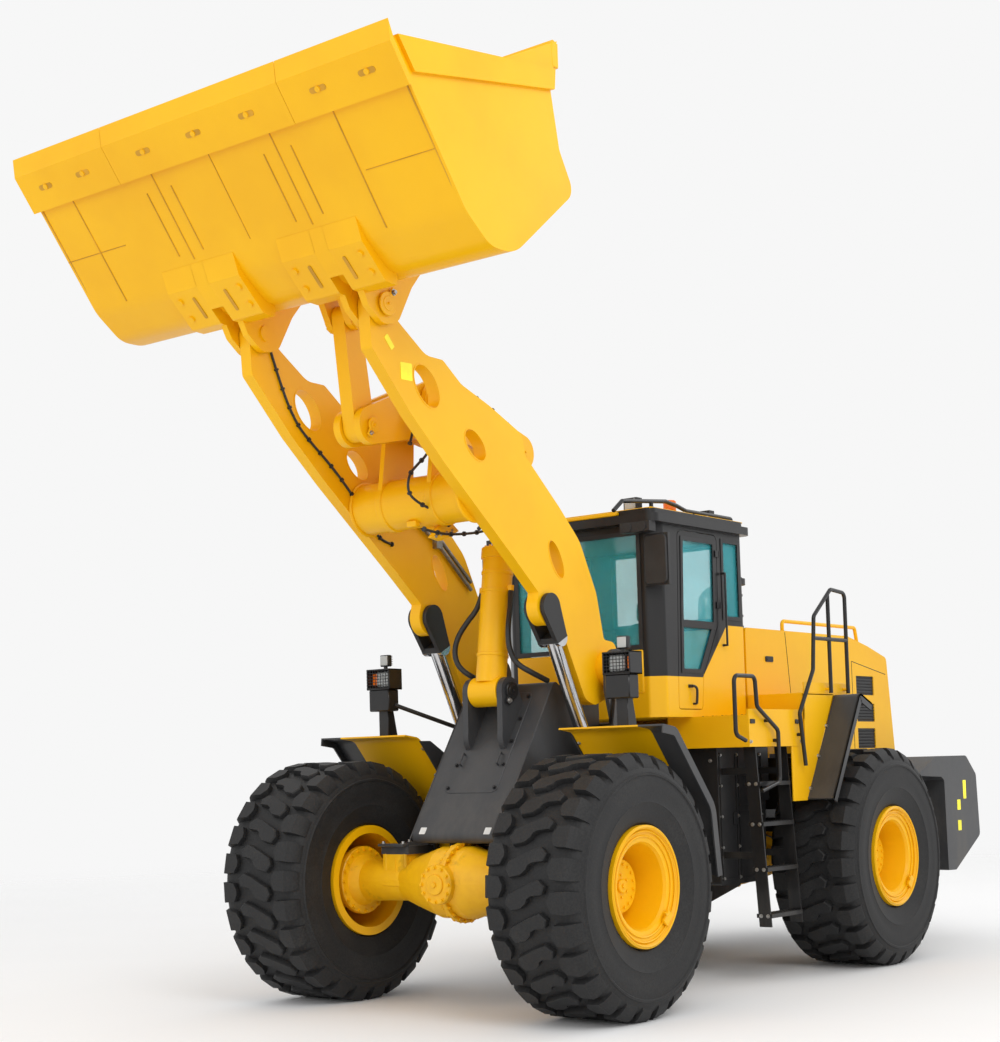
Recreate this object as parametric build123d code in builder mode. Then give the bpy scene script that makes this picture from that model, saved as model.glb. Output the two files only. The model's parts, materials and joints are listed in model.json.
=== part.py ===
from build123d import *
import os

# Articulated wheel loader with a single Z-bar linkage, boom raised and bucket rolled back.
# +X forward, +Y left, +Z up, millimetres. The origin is on the ground under the articulation pin.

os.makedirs("parts", exist_ok=True)

# ---------------------------------------------------------------- driving dimensions
AXLE_OFFSET = 2175.0  # articulation pin to either axle
TRACK_HALF = 1415.0  # centre plane to a tyre's centre plane
FIT = 0.06  # radial clearance of a pin in its bore
GAP = 8.0  # side clearance between pinned pieces

TYRE_RADIUS = 1030.0  # out to the lugs' tips
TYRE_HALF_WIDTH = 445.0
TREAD_HALF_WIDTH = 352.0
TYRE_WALL = 60.0
RIM_SEAT_RADIUS = 419.0
RIM_FLANGE_RADIUS = 473.0
RIM_FLANGE_OFFSET = 411.0  # flange face from the tyre's centre plane
RIM_INNER_OFFSET = 350.0
RIM_WALL = 14.0
WELL_RADIUS = 330.0  # opening of the dish
WELL_FLOOR_OFFSET = 60.0  # bolted disc from the tyre's centre plane
HUB_RADIUS = 205.0
HUB_NOSE_OFFSET = 170.0

# linkage pins, (x, z)
BOOM_PIN = (975.0, 2800.0)
BUCKET_PIN = (3825.0, 5460.0)
BELLCRANK_PIN = (2515.0, 4950.0)
LINK_PIN = (3315.0, 4700.0)
EAR_PIN = (3439.0, 5564.0)
TILT_EYE = (1420.0, 4700.0)
TILT_BASE = (1715.0, 2620.0)
LIFT_EYE = (1795.0, 3290.0)
LIFT_BASE = (575.0, 880.0)
CROSS_TUBE = (2595.0, 4170.0)
PIN_RADIUS = 65.0
SMALL_PIN_RADIUS = 50.0

# boom
ARM_PLANE = 635.0  # centre plane of an arm
ARM_THICKNESS = 110.0
CROSS_TUBE_RADIUS = 210.0
SUPPORT_PLANE = 262.0  # plates that carry the bellcrank
SUPPORT_THICKNESS = 44.0

# bellcrank and link
FRONT_CHEEK_GAP = 144.0
FRONT_CHEEK = 68.0
REAR_CHEEK_GAP = 330.0
REAR_CHEEK = 46.0
LINK_WIDTH = 128.0

# cylinders
LIFT_BARREL_RADIUS = 115.0
LIFT_ROD_RADIUS = 62.0
LIFT_BARREL_LENGTH = 1290.0
LIFT_ENGAGED = 45.0  # rod left inside its barrel at full stroke
TILT_BARREL_RADIUS = 132.0
TILT_ROD_RADIUS = 65.0
TILT_BARREL_LENGTH = 1250.0
TILT_ENGAGED = 180.0

# bucket
BUCKET_HALF_WIDTH = 1985.0
SHELL = 32.0
SIDE_PLATE = 30.0
CUTTER = 30.0
EDGE_JOINT = 930.0  # from the centre plane to a joint between edge plates

# frames
BOX_HALF = 456.0  # outside of the front box, inside of the inner tower plates
BOX_PLATE = 40.0
TOWER_PLATE = 38.0
TOWER_OUT = 776.0  # inside of the outer tower plates
LUG_SPANS = ((640, 700), (1580, 1640))  # heights of the front frame's two hitch lugs
LUG_RADIUS = 150.0
REAR_BOX_HALF = 420.0

# cab, hood and deck
CAB_HALF = 870.0
CAB_FRONT = 385.0
CAB_REAR = -1120.0
CAB_FLOOR = 2380.0
CAB_TOP = 4110.0
ROOF_TOP = 4235.0
CAB_WALL = 50.0
GLASS = 8.0
HOOD_HALF = 850.0
HOOD_WALL = 30.0
HOOD_BOTTOM = 2032.0
DECK_OUT = 1450.0
DECK_TOP = 2430.0
DECK_BOTTOM = 2095.0
RAIL_RADIUS = 19.0
RAIL_PLANE = 1500.0


# ---------------------------------------------------------------- shapes used again and again
def side_plane(y):
    """The XZ plane at y, drawn in world x and z."""
    return Plane(origin=(0, y, 0), x_dir=(1, 0, 0), z_dir=(0, -1, 0))


def cross_plane(x):
    """The YZ plane at x, drawn in world y and z."""
    return Plane(origin=(x, 0, 0), x_dir=(0, 1, 0), z_dir=(1, 0, 0))


def side_slab(corners, y, thickness):
    """A slab in the XZ plane, centred on y, from corners of (x, z, radius)."""
    with BuildPart() as slab:
        with BuildSketch(side_plane(y)):
            with BuildLine():
                points = [(x, z) for x, z, _ in corners]
                FilletPolyline(points, radius=[radius for _, _, radius in corners], close=True)
            make_face()
        extrude(amount=thickness / 2, both=True)
    return slab.part


def far_side(corners, thickness):
    """Corners of the line that runs to the right of a folded line, thickness away."""
    points = [Vector(a, b) for a, b, _ in corners]
    runs = [(end - start).normalized() for start, end in zip(points, points[1:])]
    runs = [runs[0], *runs, runs[-1]]
    moved = []
    for point, before, after, (_, _, bend) in zip(points, runs, runs[1:], corners):
        mitre = Vector(before.Y + after.Y, -before.X - after.X)
        spot = point + mitre * (2 * thickness / mitre.dot(mitre))
        turn = before.X * after.Y - before.Y * after.X
        grown = bend + (thickness if turn > 0 else -thickness)
        moved.append((spot.X, spot.Y, max(grown, 0) if bend else 0))
    return moved


def folded_sheet(corners, thickness, y_low, y_high):
    """A sheet folded along (x, z, radius) corners, its thickness to the right of that line."""
    outline = corners + far_side(corners, thickness)[::-1]
    return side_slab(outline, (y_low + y_high) / 2, y_high - y_low)


def flat_slab(corners, low, high):
    """A slab lying flat between two heights, from corners of (x, y, radius)."""
    with BuildPart() as slab:
        with BuildSketch(Plane.XY.offset(low)):
            with BuildLine():
                points = [(x, y) for x, y, _ in corners]
                FilletPolyline(points, radius=[radius for _, _, radius in corners], close=True)
            make_face()
        extrude(amount=high - low)
    return slab.part


def span_box(x_span, y_span, z_span):
    """A box between two corners, given as three spans."""
    sizes = [high - low for low, high in (x_span, y_span, z_span)]
    middle = tuple((low + high) / 2 for low, high in (x_span, y_span, z_span))
    with BuildPart() as box:
        with Locations(middle):
            Box(*sizes)
    return box.part


def cross_bar(place, radius, y_low, y_high):
    """A round bar along Y through (x, z)."""
    with BuildPart() as bar:
        with BuildSketch(side_plane((y_low + y_high) / 2)):
            with Locations(place):
                Circle(radius)
        extrude(amount=(y_high - y_low) / 2, both=True)
    return bar.part


def both_sides(low, high):
    """The same Y span on the left and on the right."""
    return ((low, high), (-high, -low))


def straight_bar(start, end, radius, y=0.0, from_start=0.0, to_end=0.0):
    """A round bar in the XZ plane at y, from start towards end, with its ends drawn back."""
    run = Vector(end[0] - start[0], 0, end[1] - start[1])
    foot = Vector(start[0], y, start[1]) + run.normalized() * from_start
    with BuildPart() as bar:
        with BuildSketch(Plane(origin=foot, x_dir=(0, 1, 0), z_dir=run)):
            Circle(radius)
        extrude(amount=run.length - from_start - to_end)
    return bar.part


def square_bar(start, end, half_across, half_span, y, from_start, to_end):
    """A rectangular bar in the XZ plane at y, from start towards end, with its ends drawn back."""
    run = Vector(end[0] - start[0], 0, end[1] - start[1])
    foot = Vector(start[0], y, start[1]) + run.normalized() * from_start
    with BuildPart() as bar:
        with BuildSketch(Plane(origin=foot, x_dir=(0, 1, 0), z_dir=run)):
            Rectangle(2 * half_span, 2 * half_across)
        extrude(amount=run.length - from_start - to_end)
    return bar.part


def bent_tube(points, radius, bend):
    """A round rail through 3-D points with tangent bends."""
    with BuildPart() as tube:
        with BuildLine() as path:
            FilletPolyline(points, radius=bend)
        with BuildSketch(Plane(origin=path.line @ 0, z_dir=path.line % 0)):
            Circle(radius)
        sweep()
    return tube.part


def strap(start, end, start_radius, end_radius, y, thickness):
    """A tapered bar with round ends in the XZ plane."""
    run = Vector(end[0] - start[0], end[1] - start[1])
    across = run.normalized().rotate(Axis.Z, 90)
    with BuildPart() as bar:
        with BuildSketch(side_plane(y)):
            with Locations(start):
                Circle(start_radius)
            with Locations(end):
                Circle(end_radius)
            with BuildLine():
                corners = [
                    Vector(*start) + across * start_radius,
                    Vector(*end) + across * end_radius,
                    Vector(*end) - across * end_radius,
                    Vector(*start) - across * start_radius,
                ]
                Polyline(corners, close=True)
            make_face()
        extrude(amount=thickness / 2, both=True)
    return bar.part


def finish(piece, name):
    """Label a finished piece and write its file."""
    piece.label = name
    export_step(piece, f"parts/{name}.step")


# ---------------------------------------------------------------- wheels
# name, axle x, side
WHEELS = [
    ("front_left", AXLE_OFFSET, 1),
    ("front_right", AXLE_OFFSET, -1),
    ("rear_left", -AXLE_OFFSET, 1),
    ("rear_right", -AXLE_OFFSET, -1),
]

SHOULDER_DROP = 42.0
TYRE_SECTION = [  # distance from the axle, offset from the centre plane, corner radius; one half
    (TYRE_RADIUS, TREAD_HALF_WIDTH, 16),
    (TYRE_RADIUS - SHOULDER_DROP, TREAD_HALF_WIDTH + 50, 20),
    (TYRE_RADIUS - 165, TYRE_HALF_WIDTH - 40, 30),
    (TYRE_RADIUS - 290, TYRE_HALF_WIDTH, 160),
    (RIM_FLANGE_RADIUS + 40, TYRE_HALF_WIDTH - 40, 30),
    (RIM_FLANGE_RADIUS + 6, RIM_FLANGE_OFFSET - 50, 0),
    (RIM_SEAT_RADIUS, RIM_FLANGE_OFFSET - 50, 0),
    (RIM_SEAT_RADIUS, RIM_FLANGE_OFFSET - 120, 0),
    (RIM_SEAT_RADIUS + 90, RIM_FLANGE_OFFSET - 105, 40),
    (TYRE_RADIUS - 290, TYRE_HALF_WIDTH - TYRE_WALL, 130),
    (TYRE_RADIUS - 150, TREAD_HALF_WIDTH - 30, 90),
]
WELL_SKIRT = 285.0  # radius of the dish wall where it meets the bolted disc
RIM_OUTLINE = [  # distance from the axle, offset from the centre plane
    (0, HUB_NOSE_OFFSET),
    (HUB_RADIUS, HUB_NOSE_OFFSET),
    (HUB_RADIUS + 12, WELL_FLOOR_OFFSET),
    (WELL_SKIRT, WELL_FLOOR_OFFSET),
    (WELL_RADIUS, RIM_FLANGE_OFFSET - 70),
    (WELL_RADIUS + 14, RIM_FLANGE_OFFSET - 46),
    (RIM_FLANGE_RADIUS - 40, RIM_FLANGE_OFFSET - 26),
    (RIM_FLANGE_RADIUS - 16, RIM_FLANGE_OFFSET),
    (RIM_FLANGE_RADIUS, RIM_FLANGE_OFFSET - 4),
    (RIM_FLANGE_RADIUS, RIM_FLANGE_OFFSET - 50),
    (RIM_SEAT_RADIUS, RIM_FLANGE_OFFSET - 50),
    (RIM_SEAT_RADIUS, -RIM_INNER_OFFSET - 11),
    (RIM_FLANGE_RADIUS, -RIM_INNER_OFFSET - 11),
    (RIM_FLANGE_RADIUS, -RIM_INNER_OFFSET - 50),
    (RIM_SEAT_RADIUS - RIM_WALL, -RIM_INNER_OFFSET - 50),
    (RIM_SEAT_RADIUS - RIM_WALL, RIM_FLANGE_OFFSET - 64),
    (WELL_RADIUS + 34, RIM_FLANGE_OFFSET - 76),
    (WELL_SKIRT + 16, WELL_FLOOR_OFFSET - 24),
    (0, WELL_FLOOR_OFFSET - 24),
]

for wheel_name, axle_x, side in WHEELS:
    hub = Vector(axle_x, side * TRACK_HALF, TYRE_RADIUS)
    spin = Axis(hub, (0, 1, 0))

    with BuildPart() as tyre:
        with BuildSketch(Plane(origin=hub, x_dir=(1, 0, 0), z_dir=(0, 0, 1))):
            with BuildLine():
                outer = [(r, y) for r, y, _ in TYRE_SECTION]
                ring = outer + [(r, -y) for r, y in reversed(outer)]
                bends = [bend for _, _, bend in TYRE_SECTION]
                FilletPolyline(ring, radius=bends + bends[::-1], close=True)
            make_face()
        revolve(axis=spin)
    finish(tyre.part, f"tyre_{wheel_name}")

    with BuildPart() as rim:
        with BuildSketch(Plane(origin=hub, x_dir=(1, 0, 0), z_dir=(0, 0, 1))):
            with BuildLine():
                Polyline([(r, side * y) for r, y in RIM_OUTLINE], close=True)
            make_face()
        revolve(axis=spin)
    finish(rim.part, f"rim_{wheel_name}")

# ---------------------------------------------------------------- axles
AXLE_NOSE = WELL_FLOOR_OFFSET - 24 - 4  # axle end, just short of the wheel's disc
AXLE_SECTION = [  # distance from the axle line, distance from the centre plane
    (0, TRACK_HALF + AXLE_NOSE),
    (190, TRACK_HALF + AXLE_NOSE),
    (205, TRACK_HALF - 60),
    (240, TRACK_HALF - 90),
    (240, TRACK_HALF - 300),
    (178, TRACK_HALF - 420),
    (165, 560),
    (215, 420),
    (300, 150),
    (300, 0),
    (0, 0),
]
AXLE_PAD_SPAN = (480, 740)
AXLE_PAD_TOP = 1262.0
DIFFERENTIAL_RADIUS = 310.0
DIFFERENTIAL_NOSE = 70.0


def axle_housing(axle_x, nose):
    """A banjo axle: tapered tubes, a round differential and its pinion nose towards the middle."""
    with BuildPart() as housing:
        with BuildSketch(Plane(origin=(axle_x, 0, TYRE_RADIUS), x_dir=(1, 0, 0), z_dir=(0, 0, 1))):
            with BuildLine():
                Polyline(AXLE_SECTION, close=True)
            make_face()
        revolve(axis=Axis((axle_x, 0, TYRE_RADIUS), (0, 1, 0)))
        mirror(about=Plane.XZ)
        face = axle_x + nose * (DIFFERENTIAL_RADIUS + DIFFERENTIAL_NOSE)
        with BuildSketch(cross_plane(face)):
            with Locations((0, TYRE_RADIUS)):
                Circle(DIFFERENTIAL_RADIUS - 90)
        with BuildSketch(cross_plane(axle_x)):
            with Locations((0, TYRE_RADIUS)):
                Circle(DIFFERENTIAL_RADIUS - 10)
        loft()
        add(straight_bar((axle_x, TYRE_RADIUS), (axle_x + nose * 560, TYRE_RADIUS), 105))
        for low, high in both_sides(*AXLE_PAD_SPAN):
            add(span_box((axle_x - 140, axle_x + 140), (low, high), (TYRE_RADIUS + 60, AXLE_PAD_TOP)))
    return housing.part


finish(axle_housing(AXLE_OFFSET, -1), "front_axle")
finish(axle_housing(-AXLE_OFFSET, 1), "rear_axle")

# ---------------------------------------------------------------- boom
NOSE_RADIUS = 128.0
BOSS_RADIUS = 150.0
ARM_OUTLINE = [  # x, z, corner radius, round the arm from the underside of its nose
    (3920, 5130, 50),
    (3486, 4686, 500),
    (3092, 4348, 900),
    (2216, 3654, 500),
    (1640, 3180, 120),
    (1290, 2530, 120),
    (1150, 2480, 100),
    (795, 2600, 180),
    (795, 3030, 90),
    (983, 3050, 40),
    (1077, 3450, 300),
    (1302, 3883, 400),
    (1580, 4145, 200),
    (2040, 4530, 60),
    (2080, 4705, 110),
    (2506, 4884, 300),
    (2860, 5005, 20),
    (3085, 5165, 60),
    (3290, 5168, 200),
    (3560, 5345, 150),
    (BUCKET_PIN[0] - NOSE_RADIUS, BUCKET_PIN[1] - 20, 60),
    (BUCKET_PIN[0] - NOSE_RADIUS, BUCKET_PIN[1] + NOSE_RADIUS, NOSE_RADIUS - 0.5),
    (BUCKET_PIN[0] + NOSE_RADIUS, BUCKET_PIN[1] + NOSE_RADIUS, NOSE_RADIUS - 0.5),
]
LIFT_BRACKET_ROOT = (1700, 3500)  # where the lift cylinder's bracket runs into the arm
ARM_HOLES = [  # x, z, half length, half width, tilt
    (3290, 4925, 185, 118, 49),
    (2705, 4540, 150, 88, 40),
    (1650, 3700, 170, 70, 62),
]

with BuildPart() as boom:
    for side in (1, -1):
        add(side_slab(ARM_OUTLINE, side * ARM_PLANE, ARM_THICKNESS))
        add(strap(LIFT_EYE, LIFT_BRACKET_ROOT, BOSS_RADIUS, 190, side * ARM_PLANE, ARM_THICKNESS))
    for x, z, half_length, half_width, tilt in ARM_HOLES:
        with BuildSketch(side_plane(0)):
            with Locations(Location((x, z), tilt)):
                Ellipse(half_length, half_width)
        extrude(amount=ARM_PLANE + ARM_THICKNESS, both=True, mode=Mode.SUBTRACT)
    inner_face = ARM_PLANE - ARM_THICKNESS / 2
    add(cross_bar(CROSS_TUBE, CROSS_TUBE_RADIUS, -inner_face, inner_face))
    for side in (1, -1):
        plane_y = side * SUPPORT_PLANE
        add(strap(CROSS_TUBE, BELLCRANK_PIN, 205, 165, plane_y, SUPPORT_THICKNESS))
    for low, high in both_sides(BOX_HALF + TOWER_PLATE + GAP, TOWER_OUT - GAP):
        add(cross_bar(BOOM_PIN, BOSS_RADIUS, low, high))
    for place in (BOOM_PIN, BUCKET_PIN):
        add(cross_bar(place, PIN_RADIUS + FIT, -TOWER_OUT, TOWER_OUT), mode=Mode.SUBTRACT)
    support_out = SUPPORT_PLANE + SUPPORT_THICKNESS / 2
    add(cross_bar(BELLCRANK_PIN, PIN_RADIUS, -support_out - 14, support_out + 14))
finish(boom.part, "boom")

# ---------------------------------------------------------------- bellcrank and link
HUB_HALF = SUPPORT_PLANE - SUPPORT_THICKNESS / 2 - GAP
with BuildPart() as bellcrank:
    for low, high in both_sides(FRONT_CHEEK_GAP / 2, FRONT_CHEEK_GAP / 2 + FRONT_CHEEK):
        add(strap(BELLCRANK_PIN, LINK_PIN, 230, 150, (low + high) / 2, FRONT_CHEEK))
        add(cross_bar(LINK_PIN, SMALL_PIN_RADIUS + 30, low, high))
    for low, high in both_sides(REAR_CHEEK_GAP / 2, REAR_CHEEK_GAP / 2 + REAR_CHEEK):
        add(strap(BELLCRANK_PIN, TILT_EYE, 225, 150, (low + high) / 2, REAR_CHEEK))
    add(cross_bar(BELLCRANK_PIN, 200, -HUB_HALF, HUB_HALF))
    add(cross_bar(BELLCRANK_PIN, PIN_RADIUS + FIT, -HUB_HALF, HUB_HALF), mode=Mode.SUBTRACT)
    pin_out = FRONT_CHEEK_GAP / 2 + FRONT_CHEEK + 12
    add(cross_bar(LINK_PIN, SMALL_PIN_RADIUS, -pin_out, pin_out))
finish(bellcrank.part, "bellcrank")

with BuildPart() as link:
    add(strap(LINK_PIN, EAR_PIN, 118, 100, 0, LINK_WIDTH))
    for place in (LINK_PIN, EAR_PIN):
        bore = cross_bar(place, SMALL_PIN_RADIUS + FIT, -LINK_WIDTH, LINK_WIDTH)
        add(bore, mode=Mode.SUBTRACT)
finish(link.part, "tilt_link")

# ---------------------------------------------------------------- bucket
SHELL_OUTLINE = [  # x, z, corner radius, outside of the shell from lip to spill guard
    (5060, 6733, 0),
    (4340, 5790, 400),
    (4080, 5600, 250),
    (3800, 5600, 350),
    (3040, 6215, 110),
    (3210, 6500, 100),
    (3300, 6930, 60),
    (3200, 7328, 0),
]
MOUTH = [(3885, 6995, 0), (5048, 6812, 0)]  # rest of a side plate's edge, down to the lip
EDGE_SECTION = [(5145, 6889, 0), (5090, 6772, 0), (4903, 6527, 0), (4940, 6498, 0), (5128, 6744, 0)]
CUTTER_OUTLINE = [(5048, 6812, 0), (4882, 6605, 0), (3285, 6932, 0), (3268, 7090, 0)]
PLATE_PLANE = BUCKET_HALF_WIDTH - CUTTER - SIDE_PLATE / 2
EAR_THICKNESS = 60.0
EAR_OUTLINE = [  # x, z, corner radius, of an ear that takes the boom's nose
    (4230, 5800, 0),
    (4020, 5420, 60),
    (3860, 5300, 130),
    (3690, 5340, 130),
    (3520, 5640, 120),
    (3300, 5900, 0),
    (3500, 6200, 0),
]
HEEL_PAD = [(4450, 5930, 0), (4385, 5765, 10), (4130, 5520, 40), (4000, 5515, 10), (4010, 5700, 0)]
HEEL_PAD_SPAN = (230, 1030)
LINK_EAR_ROOT = (3520, 5880)
ear_in = ARM_PLANE - ARM_THICKNESS / 2 - GAP
ear_out = ARM_PLANE + ARM_THICKNESS / 2 + GAP
link_ear = LINK_WIDTH / 2 + GAP

with BuildPart() as bucket:
    for low, high in both_sides(ear_in - EAR_THICKNESS, ear_in) + both_sides(ear_out, ear_out + EAR_THICKNESS):
        add(side_slab(EAR_OUTLINE, (low + high) / 2, high - low))
    for low, high in both_sides(link_ear, link_ear + EAR_THICKNESS):
        add(strap(EAR_PIN, LINK_EAR_ROOT, 115, 190, (low + high) / 2, high - low))
    for low, high in both_sides(*HEEL_PAD_SPAN):
        add(side_slab(HEEL_PAD, (low + high) / 2, high - low))
    for low, high in both_sides(ear_in - 2, ear_out + 2):
        add(side_slab(HEEL_PAD, (low + high) / 2, high - low), mode=Mode.SUBTRACT)
    add(side_slab(far_side(SHELL_OUTLINE, SHELL / 2) + MOUTH, 0, 2 * PLATE_PLANE), mode=Mode.SUBTRACT)
    add(folded_sheet(SHELL_OUTLINE, SHELL, -PLATE_PLANE, PLATE_PLANE))
    for side in (1, -1):
        add(side_slab(SHELL_OUTLINE + MOUTH, side * PLATE_PLANE, SIDE_PLATE))
    for low, high in both_sides(ear_in - EAR_THICKNESS - 12, ear_out + EAR_THICKNESS + 12):
        add(cross_bar(BUCKET_PIN, PIN_RADIUS, low, high))
finish(bucket.part, "bucket")

with BuildPart() as cutting_edge:
    joints = [-BUCKET_HALF_WIDTH, -EDGE_JOINT, EDGE_JOINT, BUCKET_HALF_WIDTH]
    for low, high in zip(joints, joints[1:]):
        add(side_slab(EDGE_SECTION, (low + high) / 2, high - low - 4))
finish(cutting_edge.part, "cutting_edge")

with BuildPart() as side_cutters:
    for side in (1, -1):
        add(side_slab(CUTTER_OUTLINE, side * (BUCKET_HALF_WIDTH - CUTTER / 2), CUTTER))
finish(side_cutters.part, "side_cutters")

# ---------------------------------------------------------------- cylinders
lift_run = Vector(LIFT_EYE[0] - LIFT_BASE[0], LIFT_EYE[1] - LIFT_BASE[1]).length
tilt_run = Vector(TILT_EYE[0] - TILT_BASE[0], TILT_EYE[1] - TILT_BASE[1]).length
BASE_EYE_HALF = 95.0
BASE_EYE_RADIUS = 128.0
FORK_CHEEK = 40.0
FORK_REACH = 250.0  # from the eye down to the yoke
YOKE_DEPTH = 52.0
TILT_BASE_HALF = 150.0
TILT_ROD_EYE_HALF = 95.0
ROD_EYE_RADIUS = 118.0


def toward(start, end, distance):
    """The (x, z) point at a distance from start towards end."""
    run = Vector(end[0] - start[0], end[1] - start[1]).normalized() * distance
    return (start[0] + run.X, start[1] + run.Y)


def barrel(base, eye, radius, bore, length, run, y, base_half):
    """A cylinder barrel with its base eye, gland collar and closed bore."""
    with BuildPart() as body:
        add(straight_bar(base, eye, radius, y, 75, run - length))
        add(straight_bar(base, eye, radius + 10, y, length - 85, run - length))
        add(cross_bar(base, BASE_EYE_RADIUS, y - base_half, y + base_half))
        add(straight_bar(base, eye, bore + FIT, y, BASE_EYE_RADIUS + 12, 0), mode=Mode.SUBTRACT)
        add(cross_bar(base, PIN_RADIUS + FIT, y - base_half, y + base_half), mode=Mode.SUBTRACT)
    return body.part


with BuildPart() as lift_barrels:
    for side in (1, -1):
        plane_y = side * ARM_PLANE
        sizes = (LIFT_BARREL_RADIUS, LIFT_ROD_RADIUS, LIFT_BARREL_LENGTH, lift_run)
        add(barrel(LIFT_BASE, LIFT_EYE, *sizes, plane_y, BASE_EYE_HALF))
finish(lift_barrels.part, "lift_barrels")

with BuildPart() as lift_rods:
    inside = LIFT_BARREL_LENGTH - LIFT_ENGAGED
    cheek_in = ARM_THICKNESS / 2 + GAP
    yoke = toward(LIFT_EYE, LIFT_BASE, FORK_REACH + YOKE_DEPTH / 2)
    for side in (1, -1):
        plane_y = side * ARM_PLANE
        add(straight_bar(LIFT_BASE, LIFT_EYE, LIFT_ROD_RADIUS, plane_y, inside, FORK_REACH + 10))
        for low, high in both_sides(cheek_in, cheek_in + FORK_CHEEK):
            middle = plane_y + (low + high) / 2
            add(strap(LIFT_EYE, yoke, ROD_EYE_RADIUS, 78, middle, FORK_CHEEK))
        ends = (lift_run - FORK_REACH - YOKE_DEPTH, FORK_REACH)
        add(square_bar(LIFT_BASE, LIFT_EYE, 78, cheek_in + FORK_CHEEK, plane_y, *ends))
finish(lift_rods.part, "lift_rods")

sizes = (TILT_BARREL_RADIUS, TILT_ROD_RADIUS, TILT_BARREL_LENGTH, tilt_run)
finish(barrel(TILT_BASE, TILT_EYE, *sizes, 0, TILT_BASE_HALF), "tilt_barrel")

with BuildPart() as tilt_rod:
    add(straight_bar(TILT_BASE, TILT_EYE, TILT_ROD_RADIUS, 0, TILT_BARREL_LENGTH - TILT_ENGAGED, 20))
    add(cross_bar(TILT_EYE, ROD_EYE_RADIUS, -TILT_ROD_EYE_HALF, TILT_ROD_EYE_HALF))
finish(tilt_rod.part, "tilt_rod")

# ---------------------------------------------------------------- front frame
BOX_OUTLINE = [  # x, z, corner radius, clockwise from the open rear end
    (350, 1720, 0),
    (520, 2150, 150),
    (1290, 2640, 150),
    (1410, 2700, 40),
    (2320, 1352, 60),
    (1770, 1352, 30),
    (1690, 700, 100),
    (350, 600, 0),
]
TOWER_OUTLINE = [  # x, z, corner radius
    (810, 2965, 164),
    (1140, 2965, 164),
    (1140, 2600, 150),
    (960, 1950, 250),
    (790, 1300, 250),
    (740, 720, 60),
    (410, 720, 60),
    (430, 1150, 200),
    (560, 1700, 250),
    (810, 2300, 200),
]
TOWER_BACK = [(810, 2330, 0), (560, 1700, 250), (450, 1200, 0)]
GUSSET = [  # carries a front fender
    (960, 1450, 0),
    (1100, 1450, 40),
    (1180, 1620, 40),
    (1700, 2225, 0),
    (1560, 2225, 60),
    (980, 1900, 0),
]
TILT_EAR_FOOT = (1640, 2240)
FOOT_SPAN = (BOX_HALF, 760)
SHAFT_HOLE = 250.0

with BuildPart() as front_frame:
    add(folded_sheet(BOX_OUTLINE, BOX_PLATE, -BOX_HALF + 1, BOX_HALF - 1))
    for low, high in both_sides(BOX_HALF - BOX_PLATE, BOX_HALF):
        add(side_slab(BOX_OUTLINE, (low + high) / 2, high - low))
    add(straight_bar((1500, TYRE_RADIUS), (1900, TYRE_RADIUS), SHAFT_HOLE), mode=Mode.SUBTRACT)
    for low, high in both_sides(BOX_HALF, BOX_HALF + TOWER_PLATE) + both_sides(TOWER_OUT, TOWER_OUT + TOWER_PLATE):
        add(side_slab(TOWER_OUTLINE, (low + high) / 2, high - low))
    for low, high in both_sides(BOX_HALF, TOWER_OUT + TOWER_PLATE):
        add(folded_sheet(TOWER_BACK, 30, low, high))
        add(span_box((430, 730), (low, high), (700, 738)))
        for place in (BOOM_PIN, LIFT_BASE):
            add(cross_bar(place, PIN_RADIUS, low, high))
    for low, high in both_sides(TOWER_OUT + TOWER_PLATE, TOWER_OUT + TOWER_PLATE + 16):
        add(side_slab(GUSSET, (low + high) / 2, high - low))
    for low, high in both_sides(TILT_BASE_HALF + GAP, TILT_BASE_HALF + GAP + 55):
        add(strap(TILT_BASE, TILT_EAR_FOOT, 120, 200, (low + high) / 2, high - low))
    ear_end = TILT_BASE_HALF + GAP + 55 + 12
    add(cross_bar(TILT_BASE, PIN_RADIUS, -ear_end, ear_end))
    for low, high in both_sides(*FOOT_SPAN):
        add(span_box((AXLE_OFFSET - 170, AXLE_OFFSET + 140), (low, high), (AXLE_PAD_TOP, 1330)))
    for low, high in LUG_SPANS:
        add(flat_slab([(-1, 0, 0), (0, LUG_RADIUS, 0), (400, 380, 0), (400, -380, 0), (0, -LUG_RADIUS, 0)], low, high))
        with Locations((0, 0, (low + high) / 2)):
            Cylinder(LUG_RADIUS, high - low)
            Cylinder(PIN_RADIUS + FIT, high - low, mode=Mode.SUBTRACT)
finish(front_frame.part, "front_frame")

FENDER_PATH = [(1885, 2280, 0), (1695, 2255, 120), (1145, 1620, 260), (1075, 1050, 0)]
FENDER_PLATE = 14.0
FENDER_IN = TOWER_OUT + TOWER_PLATE + 16
FENDER_MIDDLE = 1600.0
FENDER_OUT = 1840.0

with BuildPart() as front_fenders:
    for low, high in both_sides(FENDER_IN, FENDER_MIDDLE):
        add(folded_sheet(FENDER_PATH[::-1], FENDER_PLATE, low, high))
finish(front_fenders.part, "front_fenders")

with BuildPart() as fender_lips:
    for low, high in both_sides(FENDER_MIDDLE, FENDER_OUT):
        add(folded_sheet(FENDER_PATH[::-1], FENDER_PLATE, low, high))
    for low, high in both_sides(FENDER_OUT - 14, FENDER_OUT):
        add(folded_sheet(FENDER_PATH[::-1], 70, low, high))
finish(fender_lips.part, "fender_lips")

# ---------------------------------------------------------------- front lamps
LAMP_POST = [(1470, 2240, 0), (1640, 2240, 0), (1600, 2505, 0), (1500, 2505, 0)]
LAMP_SPAN = (1156, 1430)
LAMP_X = (1440, 1700)
LAMP_Z = (2505, 2885)

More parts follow.
